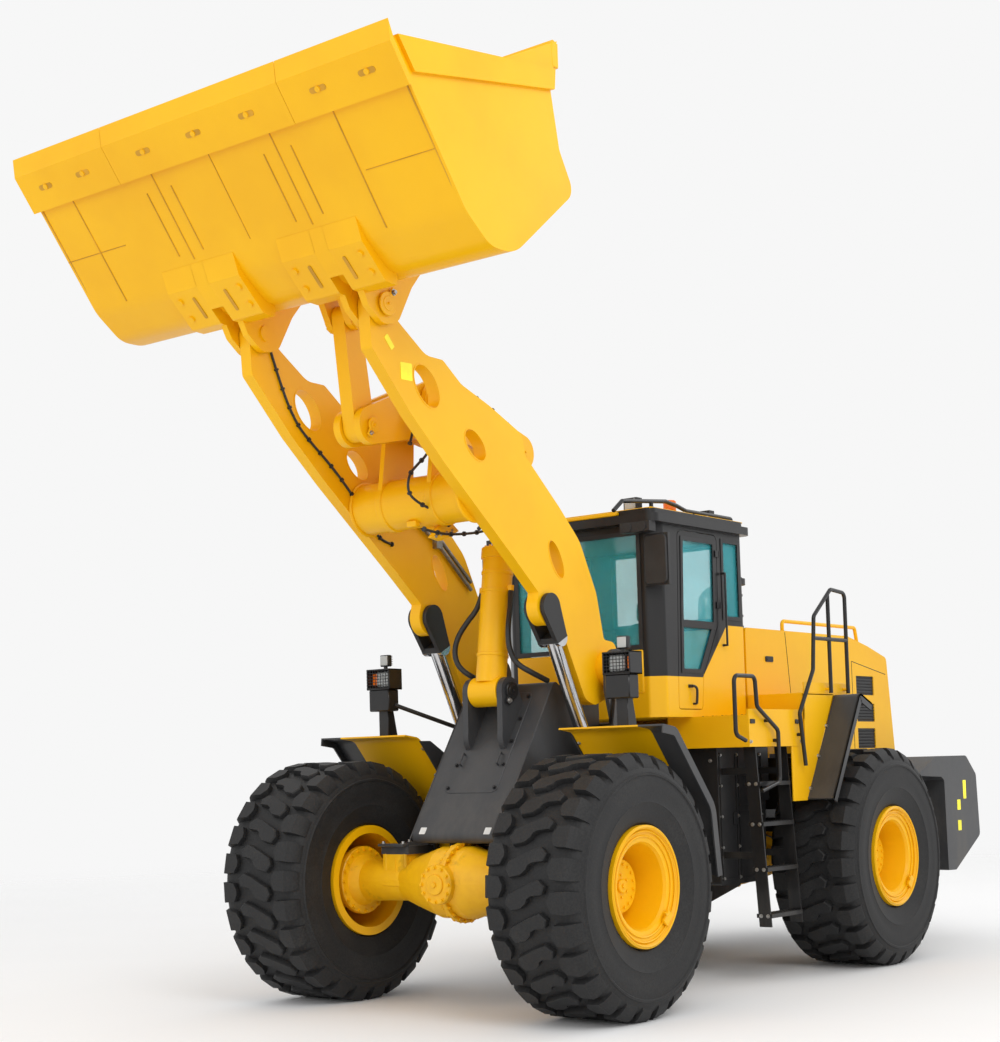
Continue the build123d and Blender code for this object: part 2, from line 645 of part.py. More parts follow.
with BuildPart() as lamp_brackets:
    for low, high in both_sides(*LAMP_SPAN):
        middle = (low + high) / 2
        add(side_slab(LAMP_POST, middle, 120))
        add(front_fenders.part, mode=Mode.SUBTRACT)
        add(span_box(LAMP_X, (low, high), LAMP_Z))
        add(span_box((LAMP_X[1] - 160, LAMP_X[1]), (low + 14, high - 14), (2519, 2871)), mode=Mode.SUBTRACT)
finish(lamp_brackets.part, "lamp_brackets")

with BuildPart() as headlamps:
    for low, high in both_sides(*LAMP_SPAN):
        for foot in (2530, 2705):
            span = (LAMP_X[1] - 160, LAMP_X[1] - 40)
            add(span_box(span, (low + 40, high - 40), (foot, foot + 155)))
finish(headlamps.part, "headlamps")

# ---------------------------------------------------------------- rear frame
SIDE_PLATE_OUTLINE = [  # x, z, corner radius
    (-350, 600, 0),
    (-350, 1740, 0),
    (-900, 1740, 100),
    (-1250, 1560, 100),
    (-4200, 1560, 0),
    (-4200, 900, 0),
    (-2700, 900, 60),
    (-2560, 1352, 60),
    (-1790, 1352, 60),
    (-1650, 760, 60),
    (-900, 600, 60),
]
REAR_LUG_SPANS = ((572, 632), (708, 768), (1512, 1572), (1648, 1708))
CAB_POSTS = [(-1000, 100), (-350, 100)]  # x, width
SILL_SPAN = (780, 840)
SILL_ARMS = (-1250, -2200, -3450)  # x of the arms that carry the sills

with BuildPart() as rear_frame:
    for low, high in both_sides(REAR_BOX_HALF - BOX_PLATE, REAR_BOX_HALF):
        add(side_slab(SIDE_PLATE_OUTLINE, (low + high) / 2, high - low))
    add(span_box((-390, -350), (-REAR_BOX_HALF, REAR_BOX_HALF), (572, 1740)))
    add(span_box((-4200, -4160), (-REAR_BOX_HALF, REAR_BOX_HALF), (900, 1560)))
    add(span_box((-2600, -1750), (-REAR_BOX_HALF, REAR_BOX_HALF), (1352, 1400)))
    add(straight_bar((-500, TYRE_RADIUS), (-200, TYRE_RADIUS), SHAFT_HOLE), mode=Mode.SUBTRACT)
    for low, high in REAR_LUG_SPANS:
        add(flat_slab([(0, LUG_RADIUS, 0), (0, -LUG_RADIUS, 0), (-351, -210, 0), (-351, 210, 0)], low, high))
        with Locations((0, 0, (low + high) / 2)):
            Cylinder(LUG_RADIUS, high - low)
    for low, high in (REAR_LUG_SPANS[0][0], REAR_LUG_SPANS[1][1]), (REAR_LUG_SPANS[2][0], REAR_LUG_SPANS[3][1]):
        with Locations((0, 0, (low + high) / 2)):
            Cylinder(PIN_RADIUS, high - low + 24)
    for low, high in both_sides(REAR_BOX_HALF - 1, 600):
        for x, width in CAB_POSTS:
            add(span_box((x - width / 2, x + width / 2), (low, high), (1560, 1660)))
    for low, high in both_sides(500, 600):
        for x, width in CAB_POSTS:
            add(span_box((x - width / 2, x + width / 2), (low, high), (1560, CAB_FLOOR)))
    for low, high in both_sides(*SILL_SPAN):
        add(span_box((-4200, -1160), (low, high), (1990, HOOD_BOTTOM)))
    for low, high in both_sides(REAR_BOX_HALF - 1, SILL_SPAN[1]):
        for x in SILL_ARMS:
            add(span_box((x - 15, x + 15), (low, high), (1480, 1990)))
    for low, high in both_sides(*AXLE_PAD_SPAN):
        span = (-AXLE_OFFSET - 130, -AXLE_OFFSET + 130)
        add(span_box(span, (low, high), (AXLE_PAD_TOP, 1400)))
    for low, high in both_sides(REAR_BOX_HALF - 1, AXLE_PAD_SPAN[1]):
        add(span_box((-AXLE_OFFSET - 130, -AXLE_OFFSET + 130), (low, high), (1352, 1400)))
finish(rear_frame.part, "rear_frame")

COUNTERWEIGHT_OUTLINE = [  # x, z, corner radius
    (-3607, 1771, 0),
    (-4204, 1747, 0),
    (-4273, 1709, 0),
    (-4292, 759, 0),
    (-4485, 753, 60),
    (-5145, 1099, 60),
    (-5103, 1759, 60),
    (-4857, 1966, 100),
    (-4085, 1966, 0),
]
COUNTERWEIGHT_HALF = 1400.0
TOW_SLOT = ((-5200, -4900), (-150, 150), (1180, 1420))

with BuildPart() as counterweight:
    add(side_slab(COUNTERWEIGHT_OUTLINE, 0, 2 * COUNTERWEIGHT_HALF))
    add(span_box((-4275, -4200), (-380, 380), (950, 1500)))
    add(span_box(*TOW_SLOT), mode=Mode.SUBTRACT)
    with Locations((-5035, 0, 1400)):
        Cylinder(27, 900, mode=Mode.SUBTRACT)
finish(counterweight.part, "counterweight")

# ---------------------------------------------------------------- power train
with BuildPart() as engine:
    add(span_box((-3500, -2300), (-400, 400), (1560, 2600)))
    add(span_box((-3400, -2400), (-300, 300), (1450, 1561)))
    add(span_box((-4020, -3700), (-620, 620), (1995, 2900)))
    add(span_box((-3990, -3730), (-SILL_SPAN[0], SILL_SPAN[0]), (1995, 2030)))
    add(span_box((-3701, -3499), (-200, 200), (2000, 2300)))
finish(engine.part, "engine")

with BuildPart() as transmission:
    add(span_box((-1350, -560), (-300, 300), (760, 1500)))
    for low, high in both_sides(290, REAR_BOX_HALF - BOX_PLATE):
        add(span_box((-1200, -1100), (low, high), (1200, 1400)))
        add(span_box((-800, -700), (low, high), (1200, 1400)))
    add(straight_bar((-560, TYRE_RADIUS), (-280, TYRE_RADIUS), 75))
    add(straight_bar((-1615, TYRE_RADIUS), (-1340, TYRE_RADIUS), 75))
    add(span_box((-1350, -1250), (-150, 150), (1499, 1620)))
    add(straight_bar((-2300, 1640), (-1340, 1560), 60, 0, 8, 0))
finish(transmission.part, "transmission")

with BuildPart() as front_shaft:
    add(straight_bar((280, TYRE_RADIUS), (1615, TYRE_RADIUS), 75))
finish(front_shaft.part, "front_shaft")

# ---------------------------------------------------------------- hood
HOOD_OUTLINE = [  # x, z, corner radius, over the top from the cab to the rear edge
    (-1165, HOOD_BOTTOM, 0),
    (-1165, 3240, 30),
    (-3270, 3240, 300),
    (-3733, 3149, 200),
    (-4158, 3039, 60),
    (-4284, HOOD_BOTTOM, 0),
]
VENTS = [((-3830, -3430), (2630, 2830)), ((-3830, -3430), (2350, 2540)), ((-3830, -3430), (2070, 2280))]
GRILLE_OPENING = ((-640, 640), (2130, 2960))
GRILLE_PLATE = 24.0

with BuildPart() as hood:
    add(side_slab(HOOD_OUTLINE, 0, 2 * HOOD_HALF))
    inside = far_side(HOOD_OUTLINE[::-1], HOOD_WALL)
    inside[0] = (inside[0][0], HOOD_BOTTOM - 10, 0)
    inside[-1] = (inside[-1][0], HOOD_BOTTOM - 10, 0)
    add(side_slab(inside, 0, 2 * (HOOD_HALF - HOOD_WALL)), mode=Mode.SUBTRACT)
    for x_span, z_span in VENTS:
        add(span_box(x_span, (-900, 900), z_span), mode=Mode.SUBTRACT)
    add(span_box((-4400, -4120), *GRILLE_OPENING), mode=Mode.SUBTRACT)
finish(hood.part, "hood")

with BuildPart() as vent_grilles:
    for low, high in both_sides(HOOD_HALF - HOOD_WALL, HOOD_HALF - 12):
        for x_span, z_span in VENTS:
            add(span_box(x_span, (low, high), z_span))
finish(vent_grilles.part, "vent_grilles")

# ---------------------------------------------------------------- deck, boxes and steps
DECK_REAR = -1085.0
DECK_FRONT = -120.0
BOX_SIDE_OUTLINE = [  # x, z, corner radius, of an equipment box beside the frame
    (-225, 860, 30),
    (-1040, 860, 30),
    (-1075, 1600, 0),
    (-1150, 1600, 30),
    (-1150, DECK_BOTTOM, 0),
    (-225, DECK_BOTTOM, 0),
]
EQUIPMENT_SPAN = (620, 1050)
STRINGER_X = (-300, -860)
STRINGER_PLATE = 16.0
STRINGER_DEPTH = 120.0
STEP_HEIGHTS = (1745, 1387, 986, 578)
LADDER_FOOT = 500.0

with BuildPart() as deck:
    for low, high in both_sides(610, DECK_OUT):
        add(span_box((DECK_REAR, DECK_FRONT), (low, high), (CAB_FLOOR - 40, CAB_FLOOR)))
        for x in (DECK_REAR + 8, -600, DECK_FRONT - 8):
            add(span_box((x - 8, x + 8), (low, high), (DECK_BOTTOM, CAB_FLOOR - 40)))
    for low, high in both_sides(DECK_OUT - 20, DECK_OUT):
        add(span_box((DECK_REAR, DECK_FRONT), (low, high), (DECK_BOTTOM, DECK_TOP)))
finish(deck.part, "deck")

with BuildPart() as equipment_boxes:
    for low, high in both_sides(*EQUIPMENT_SPAN):
        add(side_slab(BOX_SIDE_OUTLINE, (low + high) / 2, high - low))
    for low, high in both_sides(REAR_BOX_HALF, EQUIPMENT_SPAN[0] + 1):
        for x in (-420, -860):
            add(span_box((x - 60, x + 60), (low, high), (1150, 1350)))
finish(equipment_boxes.part, "equipment_boxes")


def ladder_y(height):
    """Middle of a ladder's depth at a height; the foot stands further out than the top."""
    return 1345 + (DECK_BOTTOM - height) * 0.062


with BuildPart() as ladders:
    for side in (1, -1):
        for x in STRINGER_X:
            with BuildSketch(cross_plane(x)):
                with BuildLine():
                    corners = [
                        (side * (ladder_y(height) + shift), height)
                        for height, shift in (
                            (DECK_BOTTOM, -STRINGER_DEPTH / 2),
                            (DECK_BOTTOM, STRINGER_DEPTH / 2),
                            (LADDER_FOOT, STRINGER_DEPTH / 2),
                            (LADDER_FOOT, -STRINGER_DEPTH / 2),
                        )
                    ]
                    Polyline(corners, close=True)
                make_face()
            extrude(amount=STRINGER_PLATE / 2, both=True)
        for height in STEP_HEIGHTS:
            ends = sorted((side * (ladder_y(height) - 85), side * (ladder_y(height) + 68)))
            add(span_box((STRINGER_X[1], STRINGER_X[0]), ends, (height, height + 36)))
        for height in (1100, 1850):
            ends = sorted((side * EQUIPMENT_SPAN[1], side * ladder_y(height)))
            for x in STRINGER_X:
                add(span_box((x - 8, x + 8), ends, (height, height + 60)))
finish(ladders.part, "ladders")

REAR_FENDER_TOP = 2590.0
REAR_FENDER_PATH = [
    (-3290, 1950, 0),
    (-2750, REAR_FENDER_TOP, 320),
    (-1265, REAR_FENDER_TOP, 90),
    (-1090, 1680, 0),
]
REAR_FENDER_IN = 1060.0
RAIL_PATHS = [  # (x, z) corners of the rails in the plane beside the deck
    [(30, 2150), (196, 2200), (196, 2717), (-165, 2717), (-185, 2450), (-550, 2240), (-550, 1777), (-220, 1700)],
    [(-1045, 1915), (-965, 2396), (-1257, 2800), (-1310, 3306), (-1665, 3579), (-1950, 3559), (-1950, REAR_FENDER_TOP)],
]
RAIL_STAYS = [(-400, 2326), (-550, 2150), (-998, 2200)]  # x, z of the stays that hold the rails off the deck

with BuildPart() as handrails:
    for side in (1, -1):
        for path in RAIL_PATHS:
            add(bent_tube([(x, side * RAIL_PLANE, z) for x, z in path], RAIL_RADIUS, 60))
        add(straight_bar((-1600, REAR_FENDER_TOP), (-1600, 3528), RAIL_RADIUS, side * RAIL_PLANE))
        add(straight_bar((-1290, 3100), (-1950, 3100), RAIL_RADIUS, side * RAIL_PLANE))
        for place in RAIL_STAYS:
            low, high = sorted((side * DECK_OUT, side * RAIL_PLANE))
            add(cross_bar(place, RAIL_RADIUS - 4, low, high))
finish(handrails.part, "handrails")

with BuildPart() as rear_fenders:
    for low, high in both_sides(REAR_FENDER_IN, 1700):
        add(folded_sheet(REAR_FENDER_PATH, 24, low, high))
    for low, high in both_sides(1676, 1700):
        add(folded_sheet(REAR_FENDER_PATH, 80, low, high))
    for low, high in both_sides(HOOD_HALF + 5, REAR_FENDER_IN + 1):
        add(folded_sheet([*REAR_FENDER_PATH[:2], (-1275, REAR_FENDER_TOP, 0)], 24, low, high))
        for x in (-1500, -2700):
            add(span_box((x - 10, x + 10), (low, high), (1995, REAR_FENDER_TOP - 20)))
    for low, high in both_sides(SILL_SPAN[1], HOOD_HALF + 6):
        for x in (-1500, -2700):
            add(span_box((x - 10, x + 10), (low, high), (1995, 2028)))
finish(rear_fenders.part, "rear_fenders")

# ---------------------------------------------------------------- cab
CAB_PLAN = [  # x, y, corner radius
    (CAB_FRONT, -750, 40),
    (CAB_FRONT, 750, 40),
    (275, CAB_HALF, 40),
    (CAB_REAR, CAB_HALF, 40),
    (CAB_REAR, -CAB_HALF, 40),
    (275, -CAB_HALF, 40),
]
CAB_INSIDE = [
    (CAB_FRONT - CAB_WALL, -730, 10),
    (CAB_FRONT - CAB_WALL, 730, 10),
    (250, CAB_HALF - CAB_WALL, 10),
    (CAB_REAR + CAB_WALL, CAB_HALF - CAB_WALL, 10),
    (CAB_REAR + CAB_WALL, -CAB_HALF + CAB_WALL, 10),
    (250, -CAB_HALF + CAB_WALL, 10),
]
DOOR_OUTLINE = [  # x, z, corner radius
    (88, 2455, 30),
    (22, 4070, 60),
    (-655, 4070, 60),
    (-630, 3240, 40),
    (-345, 2760, 80),
    (-310, 2455, 30),
]
DOOR_WINDOW = [(18, 2790, 30), (-32, 4010, 40), (-600, 4010, 40), (-578, 3262, 40), (-320, 2820, 60), (-300, 2790, 20)]
QUARTER_WINDOW = [(-735, 3300, 40), (-735, 4040, 40), (-1050, 4040, 40), (-1050, 3300, 40)]
DOOR_GAP = 8.0
WINDSCREEN = ((-690, 690), (2620, 4040))
REAR_WINDOW = ((-600, 600), (3320, 4040))
HINGE = (-668.0, CAB_HALF + 14)

with BuildPart() as cab_shell:
    add(flat_slab(CAB_PLAN, CAB_FLOOR, CAB_TOP))
    add(flat_slab(CAB_INSIDE, CAB_FLOOR + CAB_WALL, CAB_TOP - CAB_WALL), mode=Mode.SUBTRACT)
    add(span_box((300, 500), *WINDSCREEN), mode=Mode.SUBTRACT)
    add(span_box((-1200, -1000), *REAR_WINDOW), mode=Mode.SUBTRACT)
    add(side_slab(QUARTER_WINDOW, 0, 2000), mode=Mode.SUBTRACT)
    add(side_slab(DOOR_WINDOW, -CAB_HALF, 200), mode=Mode.SUBTRACT)
    with BuildSketch(side_plane(CAB_HALF)):
        with BuildLine():
            points = [(x, z) for x, z, _ in DOOR_OUTLINE]
            FilletPolyline(points, radius=[bend for _, _, bend in DOOR_OUTLINE], close=True)
        make_face()
        offset(amount=DOOR_GAP)
    extrude(amount=100, both=True, mode=Mode.SUBTRACT)
finish(cab_shell.part, "cab_shell")

with BuildPart() as cab_glass:
    add(span_box((CAB_FRONT - 24, CAB_FRONT - 24 + GLASS), *WINDSCREEN))
    add(span_box((CAB_REAR + 12, CAB_REAR + 12 + GLASS), *REAR_WINDOW))
    for side in (1, -1):
        add(side_slab(QUARTER_WINDOW, side * (CAB_HALF - 20), GLASS))
    add(side_slab(DOOR_WINDOW, -CAB_HALF + 20, GLASS))
finish(cab_glass.part, "cab_glass")

with BuildPart() as cab_door:
    add(side_slab(DOOR_OUTLINE, CAB_HALF - 20, 40))
    add(side_slab(DOOR_WINDOW, CAB_HALF, 200), mode=Mode.SUBTRACT)
    for height in (3420, 3900):
        add(span_box((-640, -600), (CAB_HALF - 1, HINGE[1] + 6), (height - 30, height + 30)))
        add(span_box((HINGE[0], -600), (HINGE[1] - 6, HINGE[1] + 6), (height - 30, height + 30)))
        with Locations((*HINGE, height)):
            Cylinder(12, 60)
finish(cab_door.part, "cab_door")

finish(side_slab(DOOR_WINDOW, CAB_HALF - 20, GLASS), "door_glass")

ROOF_PLAN = [(520, -940, 90), (520, 940, 90), (-1200, 940, 90), (-1200, -940, 90)]
ROOF_PANEL = [(470, -890, 70), (470, 890, 70), (-1150, 890, 70), (-1150, -890, 70)]
with BuildPart() as cab_roof:
    add(flat_slab(ROOF_PLAN, CAB_TOP, CAB_TOP + 75))
    add(flat_slab(ROOF_PANEL, CAB_TOP + 75, ROOF_TOP))
finish(cab_roof.part, "cab_roof")

with BuildPart() as roof_lamps:
    for low, high in both_sides(600, 910):
        add(span_box((440, 545), (low, high), (CAB_TOP - 90, CAB_TOP)))
    for x, y in ((350, 620), (350, -620), (-900, 620), (-900, -620)):
        add(span_box((x - 45, x + 45), (y - 70, y + 70), (ROOF_TOP, ROOF_TOP + 120)))
    with Locations((-300, 600, ROOF_TOP + 75)):
        Cylinder(55, 150)
finish(roof_lamps.part, "roof_lamps")

ROOF_RAIL = [(860, 4180), (720, 4280), (9, 4345), (-175, 4324), (-335, 4290), (-1150, 4290), (-1150, 4236)]
with BuildPart() as roof_rail:
    for side in (1, -1):
        add(bent_tube([(x, side * 750, z) for x, z in ROOF_RAIL], RAIL_RADIUS, 25))
        add(straight_bar((250, ROOF_TOP), (250, 4320), RAIL_RADIUS, side * 750))
finish(roof_rail.part, "roof_rail")

with BuildPart() as mirrors:
    for side in (1, -1):
        for height in (3600, 3900):
            ends = [(330, side * 810, height), (390, side * 865, height), (430, side * 902, height)]
            add(bent_tube(ends, 14, 20))
        low, high = sorted((side * 785, side * 1038))
        add(span_box((412, 450), (low, high), (3540, 4000)))
finish(mirrors.part, "mirrors")

with BuildPart() as seat:
    add(span_box((-760, -260), (-200, 200), (CAB_FLOOR + CAB_WALL, 2700)))
    add(span_box((-800, -220), (-260, 260), (2700, 2850)))
    add(side_slab([(-820, 2850, 0), (-660, 2850, 30), (-780, 3560, 60), (-930, 3560, 30)], 0, 480))
finish(seat.part, "seat")

with BuildPart() as steering_column:
    add(straight_bar((160, CAB_FLOOR + CAB_WALL - 20), (30, 3120), 50, 0, 30, 0))
    add(straight_bar((44, 3090), (30, 3150), 190, 0, 10, 20))
    add(span_box((80, 240), (-120, 120), (CAB_FLOOR + CAB_WALL, CAB_FLOOR + 200)))
finish(steering_column.part, "steering_column")

# ---------------------------------------------------------------- hood fittings
with BuildPart() as intake_stack:
    with Locations((-1330, 620, 3460)):
        Cylinder(100, 440)
    with Locations((-1330, 620, 3700)):
        Cylinder(135, 60)
finish(intake_stack.part, "intake_stack")

HOOD_RAIL = [(-2070, 3240), (-2070, 3350), (-3640, 3350), (-3690, 3175)]
with BuildPart() as hood_rail:
    for side in (1, -1):
        add(bent_tube([(x, side * 750, z) for x, z in HOOD_RAIL], RAIL_RADIUS, 40))
finish(hood_rail.part, "hood_rail")

GRILLE_LEAN = (4284 - 4158) / (3039 - HOOD_BOTTOM)  # how far the rear face leans, per unit of height
GRILLE_GAP = 6.0


def rear_face(height, outward):
    """A point on the leaning rear face of the hood, moved outward."""
    return (-4284 + (height - HOOD_BOTTOM) * GRILLE_LEAN - outward, height)


(g_low, g_high), (g_foot, g_top) = GRILLE_OPENING
with BuildPart() as grille_door:
    face = [(*rear_face(z, GRILLE_GAP), 0) for z in (g_foot - 15, g_top + 15)]
    add(folded_sheet(face, -GRILLE_PLATE, g_low - 20, g_high + 20))
    for z in (g_foot + 60, g_top - 160):
        ends = [rear_face(height, GRILLE_GAP + GRILLE_PLATE / 2) for height in (z, z + 100)]
        add(straight_bar(*ends, GRILLE_PLATE / 2, g_high + 20 + GRILLE_PLATE / 2))
finish(grille_door.part, "grille_door")

# ---------------------------------------------------------------- boom fittings
PIPE_PATH = [(1250, 3640), (1700, 4020), (2370, 4430)]
with BuildPart() as arm_pipes:
    pipe_plane = ARM_PLANE - ARM_THICKNESS / 2 - 30
    for drop in (0, 70):
        add(bent_tube([(x, -pipe_plane, z - drop) for x, z in PIPE_PATH], 17, 150))
    for x, z in PIPE_PATH[1:]:
        add(span_box((x - 40, x + 40), (-pipe_plane - 30, -pipe_plane + 20), (z - 110, z + 40)))
finish(arm_pipes.part, "arm_pipes")
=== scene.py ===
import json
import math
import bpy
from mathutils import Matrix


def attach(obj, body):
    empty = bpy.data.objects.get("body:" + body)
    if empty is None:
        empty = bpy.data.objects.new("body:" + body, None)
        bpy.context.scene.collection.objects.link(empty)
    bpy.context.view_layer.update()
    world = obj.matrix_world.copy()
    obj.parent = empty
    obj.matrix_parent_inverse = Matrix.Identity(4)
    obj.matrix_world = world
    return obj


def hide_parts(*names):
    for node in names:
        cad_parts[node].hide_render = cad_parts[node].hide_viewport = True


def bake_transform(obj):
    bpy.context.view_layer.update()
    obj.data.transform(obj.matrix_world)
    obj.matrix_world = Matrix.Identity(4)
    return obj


bl_info = {
    "name": "Articulated wheel loader",
    "version": (1, 0, 0),
    "blender": (4, 5, 0),
    "location": "3D View > Sidebar > Loader",
    "description": "Dresses the packed frame of an articulated wheel loader",
    "category": "Object",
}

import bmesh
import bpy
from mathutils import Matrix, Vector

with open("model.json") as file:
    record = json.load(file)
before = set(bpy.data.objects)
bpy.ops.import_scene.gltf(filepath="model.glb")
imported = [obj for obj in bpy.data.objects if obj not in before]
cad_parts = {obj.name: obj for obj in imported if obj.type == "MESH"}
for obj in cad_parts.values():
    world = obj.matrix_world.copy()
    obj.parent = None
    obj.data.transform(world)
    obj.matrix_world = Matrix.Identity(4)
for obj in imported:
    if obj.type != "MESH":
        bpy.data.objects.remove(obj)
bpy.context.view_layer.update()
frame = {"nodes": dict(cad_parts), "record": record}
SIDES = (1, -1)
SIDE_PLANE = ((1, 0, 0), (0, 0, 1))  # across and up of an outline seen from the side
FRONT_PLANE = ((0, 1, 0), (0, 0, 1))  # the same, seen from the front
ARM_Y = 0.635  # middle of a boom arm and of its lift cylinder
CAB_SIDE = 0.871  # outer face of the cab's side windows
HOOD_SIDE = 0.8495  # outer face of the hood's sides
STUD_ROWS = (0.95, 1.05, 1.15, 1.25, 1.35)  # anti-slip rows on the platforms and decks, in y
WHEELS = {"front_left": 1, "front_right": -1, "rear_left": 1, "rear_right": -1}


def pin(joint):
    """Where a joint of the frame turns."""
    return next(
        Vector(item["pos_m"]) for item in frame["record"]["behaviour"]["joints"] if item["name"] == joint
    )


# ---------------------------------------------------------------- shader building
class Value:
    """A socket in a shader, with the arithmetic that shaders need."""

    def __init__(self, shader, socket):
        self.shader = shader
        self.socket = socket

    def maths(self, operation, *terms, clamp=False):
        settings = {"operation": operation, "use_clamp": clamp}
        return self.shader.node("ShaderNodeMath", settings, dict(enumerate(terms)))

    def __add__(self, other):
        return self.maths("ADD", self, other)

    __radd__ = __add__

    def __sub__(self, other):
        return self.maths("SUBTRACT", self, other)

    def __rsub__(self, other):
        return self.maths("SUBTRACT", other, self)

    def __mul__(self, other):
        return self.maths("MULTIPLY", self, other)

    __rmul__ = __mul__

    def clamped(self):
        return self.maths("ADD", self, 0.0, clamp=True)

    def between(self, low, high):
        """0 below low, 1 above high, and smooth between."""
        settings = {"interpolation_type": "SMOOTHSTEP"}
        return self.shader.node("ShaderNodeMapRange", settings, {0: self, 1: low, 2: high})


class Shader:
    """A material whose nodes are added by expressions."""

    def __init__(self, name):
        self.material = bpy.data.materials.new(name)
        self.material.use_nodes = True
        self.tree = self.material.node_tree
        self.tree.nodes.clear()
        self.position = self.node("ShaderNodeTexCoord", {}, {}, "Object")
        self.along = self.node("ShaderNodeSeparateXYZ", {}, {0: self.position}, "X")
        self.height = self.node("ShaderNodeSeparateXYZ", {}, {0: self.position}, "Z")
        normal = self.node("ShaderNodeNewGeometry", {}, {}, "Normal")
        self.facing_up = self.node("ShaderNodeSeparateXYZ", {}, {0: normal}, "Z")

    def node(self, kind, settings, values, output=0):
        """Adds a node, sets it up, then fills its inputs with values or links."""
        made = self.tree.nodes.new(kind)
        for name, setting in settings.items():
            setattr(made, name, setting)
        for key, value in values.items():
            if isinstance(value, Value):
                self.tree.links.new(value.socket, made.inputs[key])
            else:
                made.inputs[key].default_value = value
        return Value(self, made.outputs[output])

    def noise(self, scale, detail=3.0, roughness=0.55, stretch=None, seed=0.0):
        place = self.position
        if stretch or seed:
            values = {0: place, "Scale": stretch or (1, 1, 1), "Location": (seed, seed * 0.7, -seed)}
            place = self.node("ShaderNodeMapping", {}, values)
        values = {"Vector": place, "Scale": scale, "Detail": detail, "Roughness": roughness}
        return self.node("ShaderNodeTexNoise", {}, values)

    def mix(self, factor, first, second):
        """A colour between two colours."""
        values = {0: factor}
        for key, colour in ((6, first), (7, second)):
            values[key] = colour if isinstance(colour, Value) else (*colour, 1.0)
        return self.node("ShaderNodeMix", {"data_type": "RGBA"}, values, 2)

    def bump(self, height, depth, strength=1.0, below=None):
        values = {"Height": height, "Distance": depth, "Strength": strength}
        if below is not None:
            values["Normal"] = below
        return self.node("ShaderNodeBump", {}, values)

    def surface(self, **sockets):
        """The finished surface, from Principled inputs written with underscores for spaces."""
        values = {name.replace("_", " "): value for name, value in sockets.items()}
        if not isinstance(values["Base Color"], Value):
            values["Base Color"] = (*values["Base Color"], 1.0)
        principled = self.node("ShaderNodeBsdfPrincipled", {}, values)
        ending = self.material.node_tree.nodes.new("ShaderNodeOutputMaterial")
        self.material.node_tree.links.new(principled.socket, ending.inputs[0])
        return self.material


def below_sill(paint):
    """1 on the cab's lower panels, whose upper edge climbs behind the door, and 0 above them."""
    climb = ((-0.334 - paint.along) * (1 / 0.454)).clamped()
    return (climb * 0.495 + 2.745 - paint.height).between(0.0, 0.002)


def enamel(name, colour, deep, dust=0.25, rough=0.34, coat=0.35, chips=0.0, part=None, second=None):
    """Sprayed machine paint: slight tone drift, orange peel, settled dust and small chips."""
    paint = Shader(name)
    drift = paint.noise(0.9, 4.0, 0.6)
    speckle = paint.noise(26.0, 5.0, 0.65)
    tone = paint.mix(drift.between(0.35, 0.7), colour, deep)
    if part:
        tone = paint.mix(part(paint), tone, second)
    low = 1 - paint.height.between(0.3, 2.4)
    shelf = paint.facing_up.between(0.55, 0.95)
    streaks = paint.noise(3.2, 6.0, 0.7, stretch=(1, 1, 0.22), seed=4.0)
    settled = ((low * 0.55 + shelf * 0.4 + 0.1) * streaks.between(0.38, 0.72) * dust * 2.2).clamped()
    dusty = paint.mix(settled, tone, DUST)
    chipped = (speckle.between(0.70, 0.74) * drift.between(0.5, 0.75) * chips).clamped()
    worn = paint.mix(chipped, dusty, (0.06, 0.05, 0.045))
    peel = paint.noise(340.0, 2.0, 0.5)
    plate = paint.noise(5.0, 2.0, 0.4)
    bumps = paint.bump(peel, 0.0006, 0.35, paint.bump(plate, 0.004, 0.18))
    gloss = (speckle * 0.10 + settled * 0.34 + chipped * 0.2 + (rough - 0.05)).clamped()
    clear = (coat - settled * 0.3).clamped()
    return paint.surface(
        Base_Color=worn,
        Roughness=gloss,
        Normal=bumps,
        Coat_Weight=clear,
        Coat_Roughness=0.12,
        Specular_IOR_Level=0.3,
    )


def rubber(name):
    """Tyre rubber: near-black, with dusty grey patches here and there."""
    tyre = Shader(name)
    patches = tyre.noise(2.6, 5.0, 0.65)
    grain = tyre.noise(60.0, 4.0, 0.7)
    pits = tyre.noise(260.0, 2.0, 0.5)
    body = tyre.mix(grain.between(0.3, 0.75), (0.010, 0.010, 0.011), (0.022, 0.022, 0.022))
    grey = (patches.between(0.45, 0.7) * grain.between(0.35, 0.6) * 0.30).clamped()
    dusty = tyre.mix(grey, body, (0.050, 0.049, 0.047))
    bumps = tyre.bump(pits, 0.0012, 0.5, tyre.bump(grain, 0.003, 0.35))
    gloss = (grain * 0.18 + 0.52 + grey * 0.2).clamped()
    return tyre.surface(Base_Color=dusty, Roughness=gloss, Normal=bumps, Specular_IOR_Level=0.35)


def bare_steel(name, colour, deep, rough=0.38):
    steel = Shader(name)
    scuff = steel.noise(18.0, 6.0, 0.7, stretch=(0.25, 1, 1))
    blot = steel.noise(1.7, 4.0, 0.6)
    tone = steel.mix(scuff.between(0.3, 0.7), colour, deep)
    rusted = steel.mix(blot.between(0.58, 0.72) * 0.35, tone, (0.10, 0.045, 0.02))
    bumps = steel.bump(scuff, 0.0009, 0.4)
    gloss = (scuff * 0.22 + (rough - 0.1)).clamped()
    return steel.surface(Base_Color=rusted, Metallic=0.9, Roughness=gloss, Normal=bumps)


FORK_START = 3.444  # distance of the lift rods' forks from the origin, along the rods


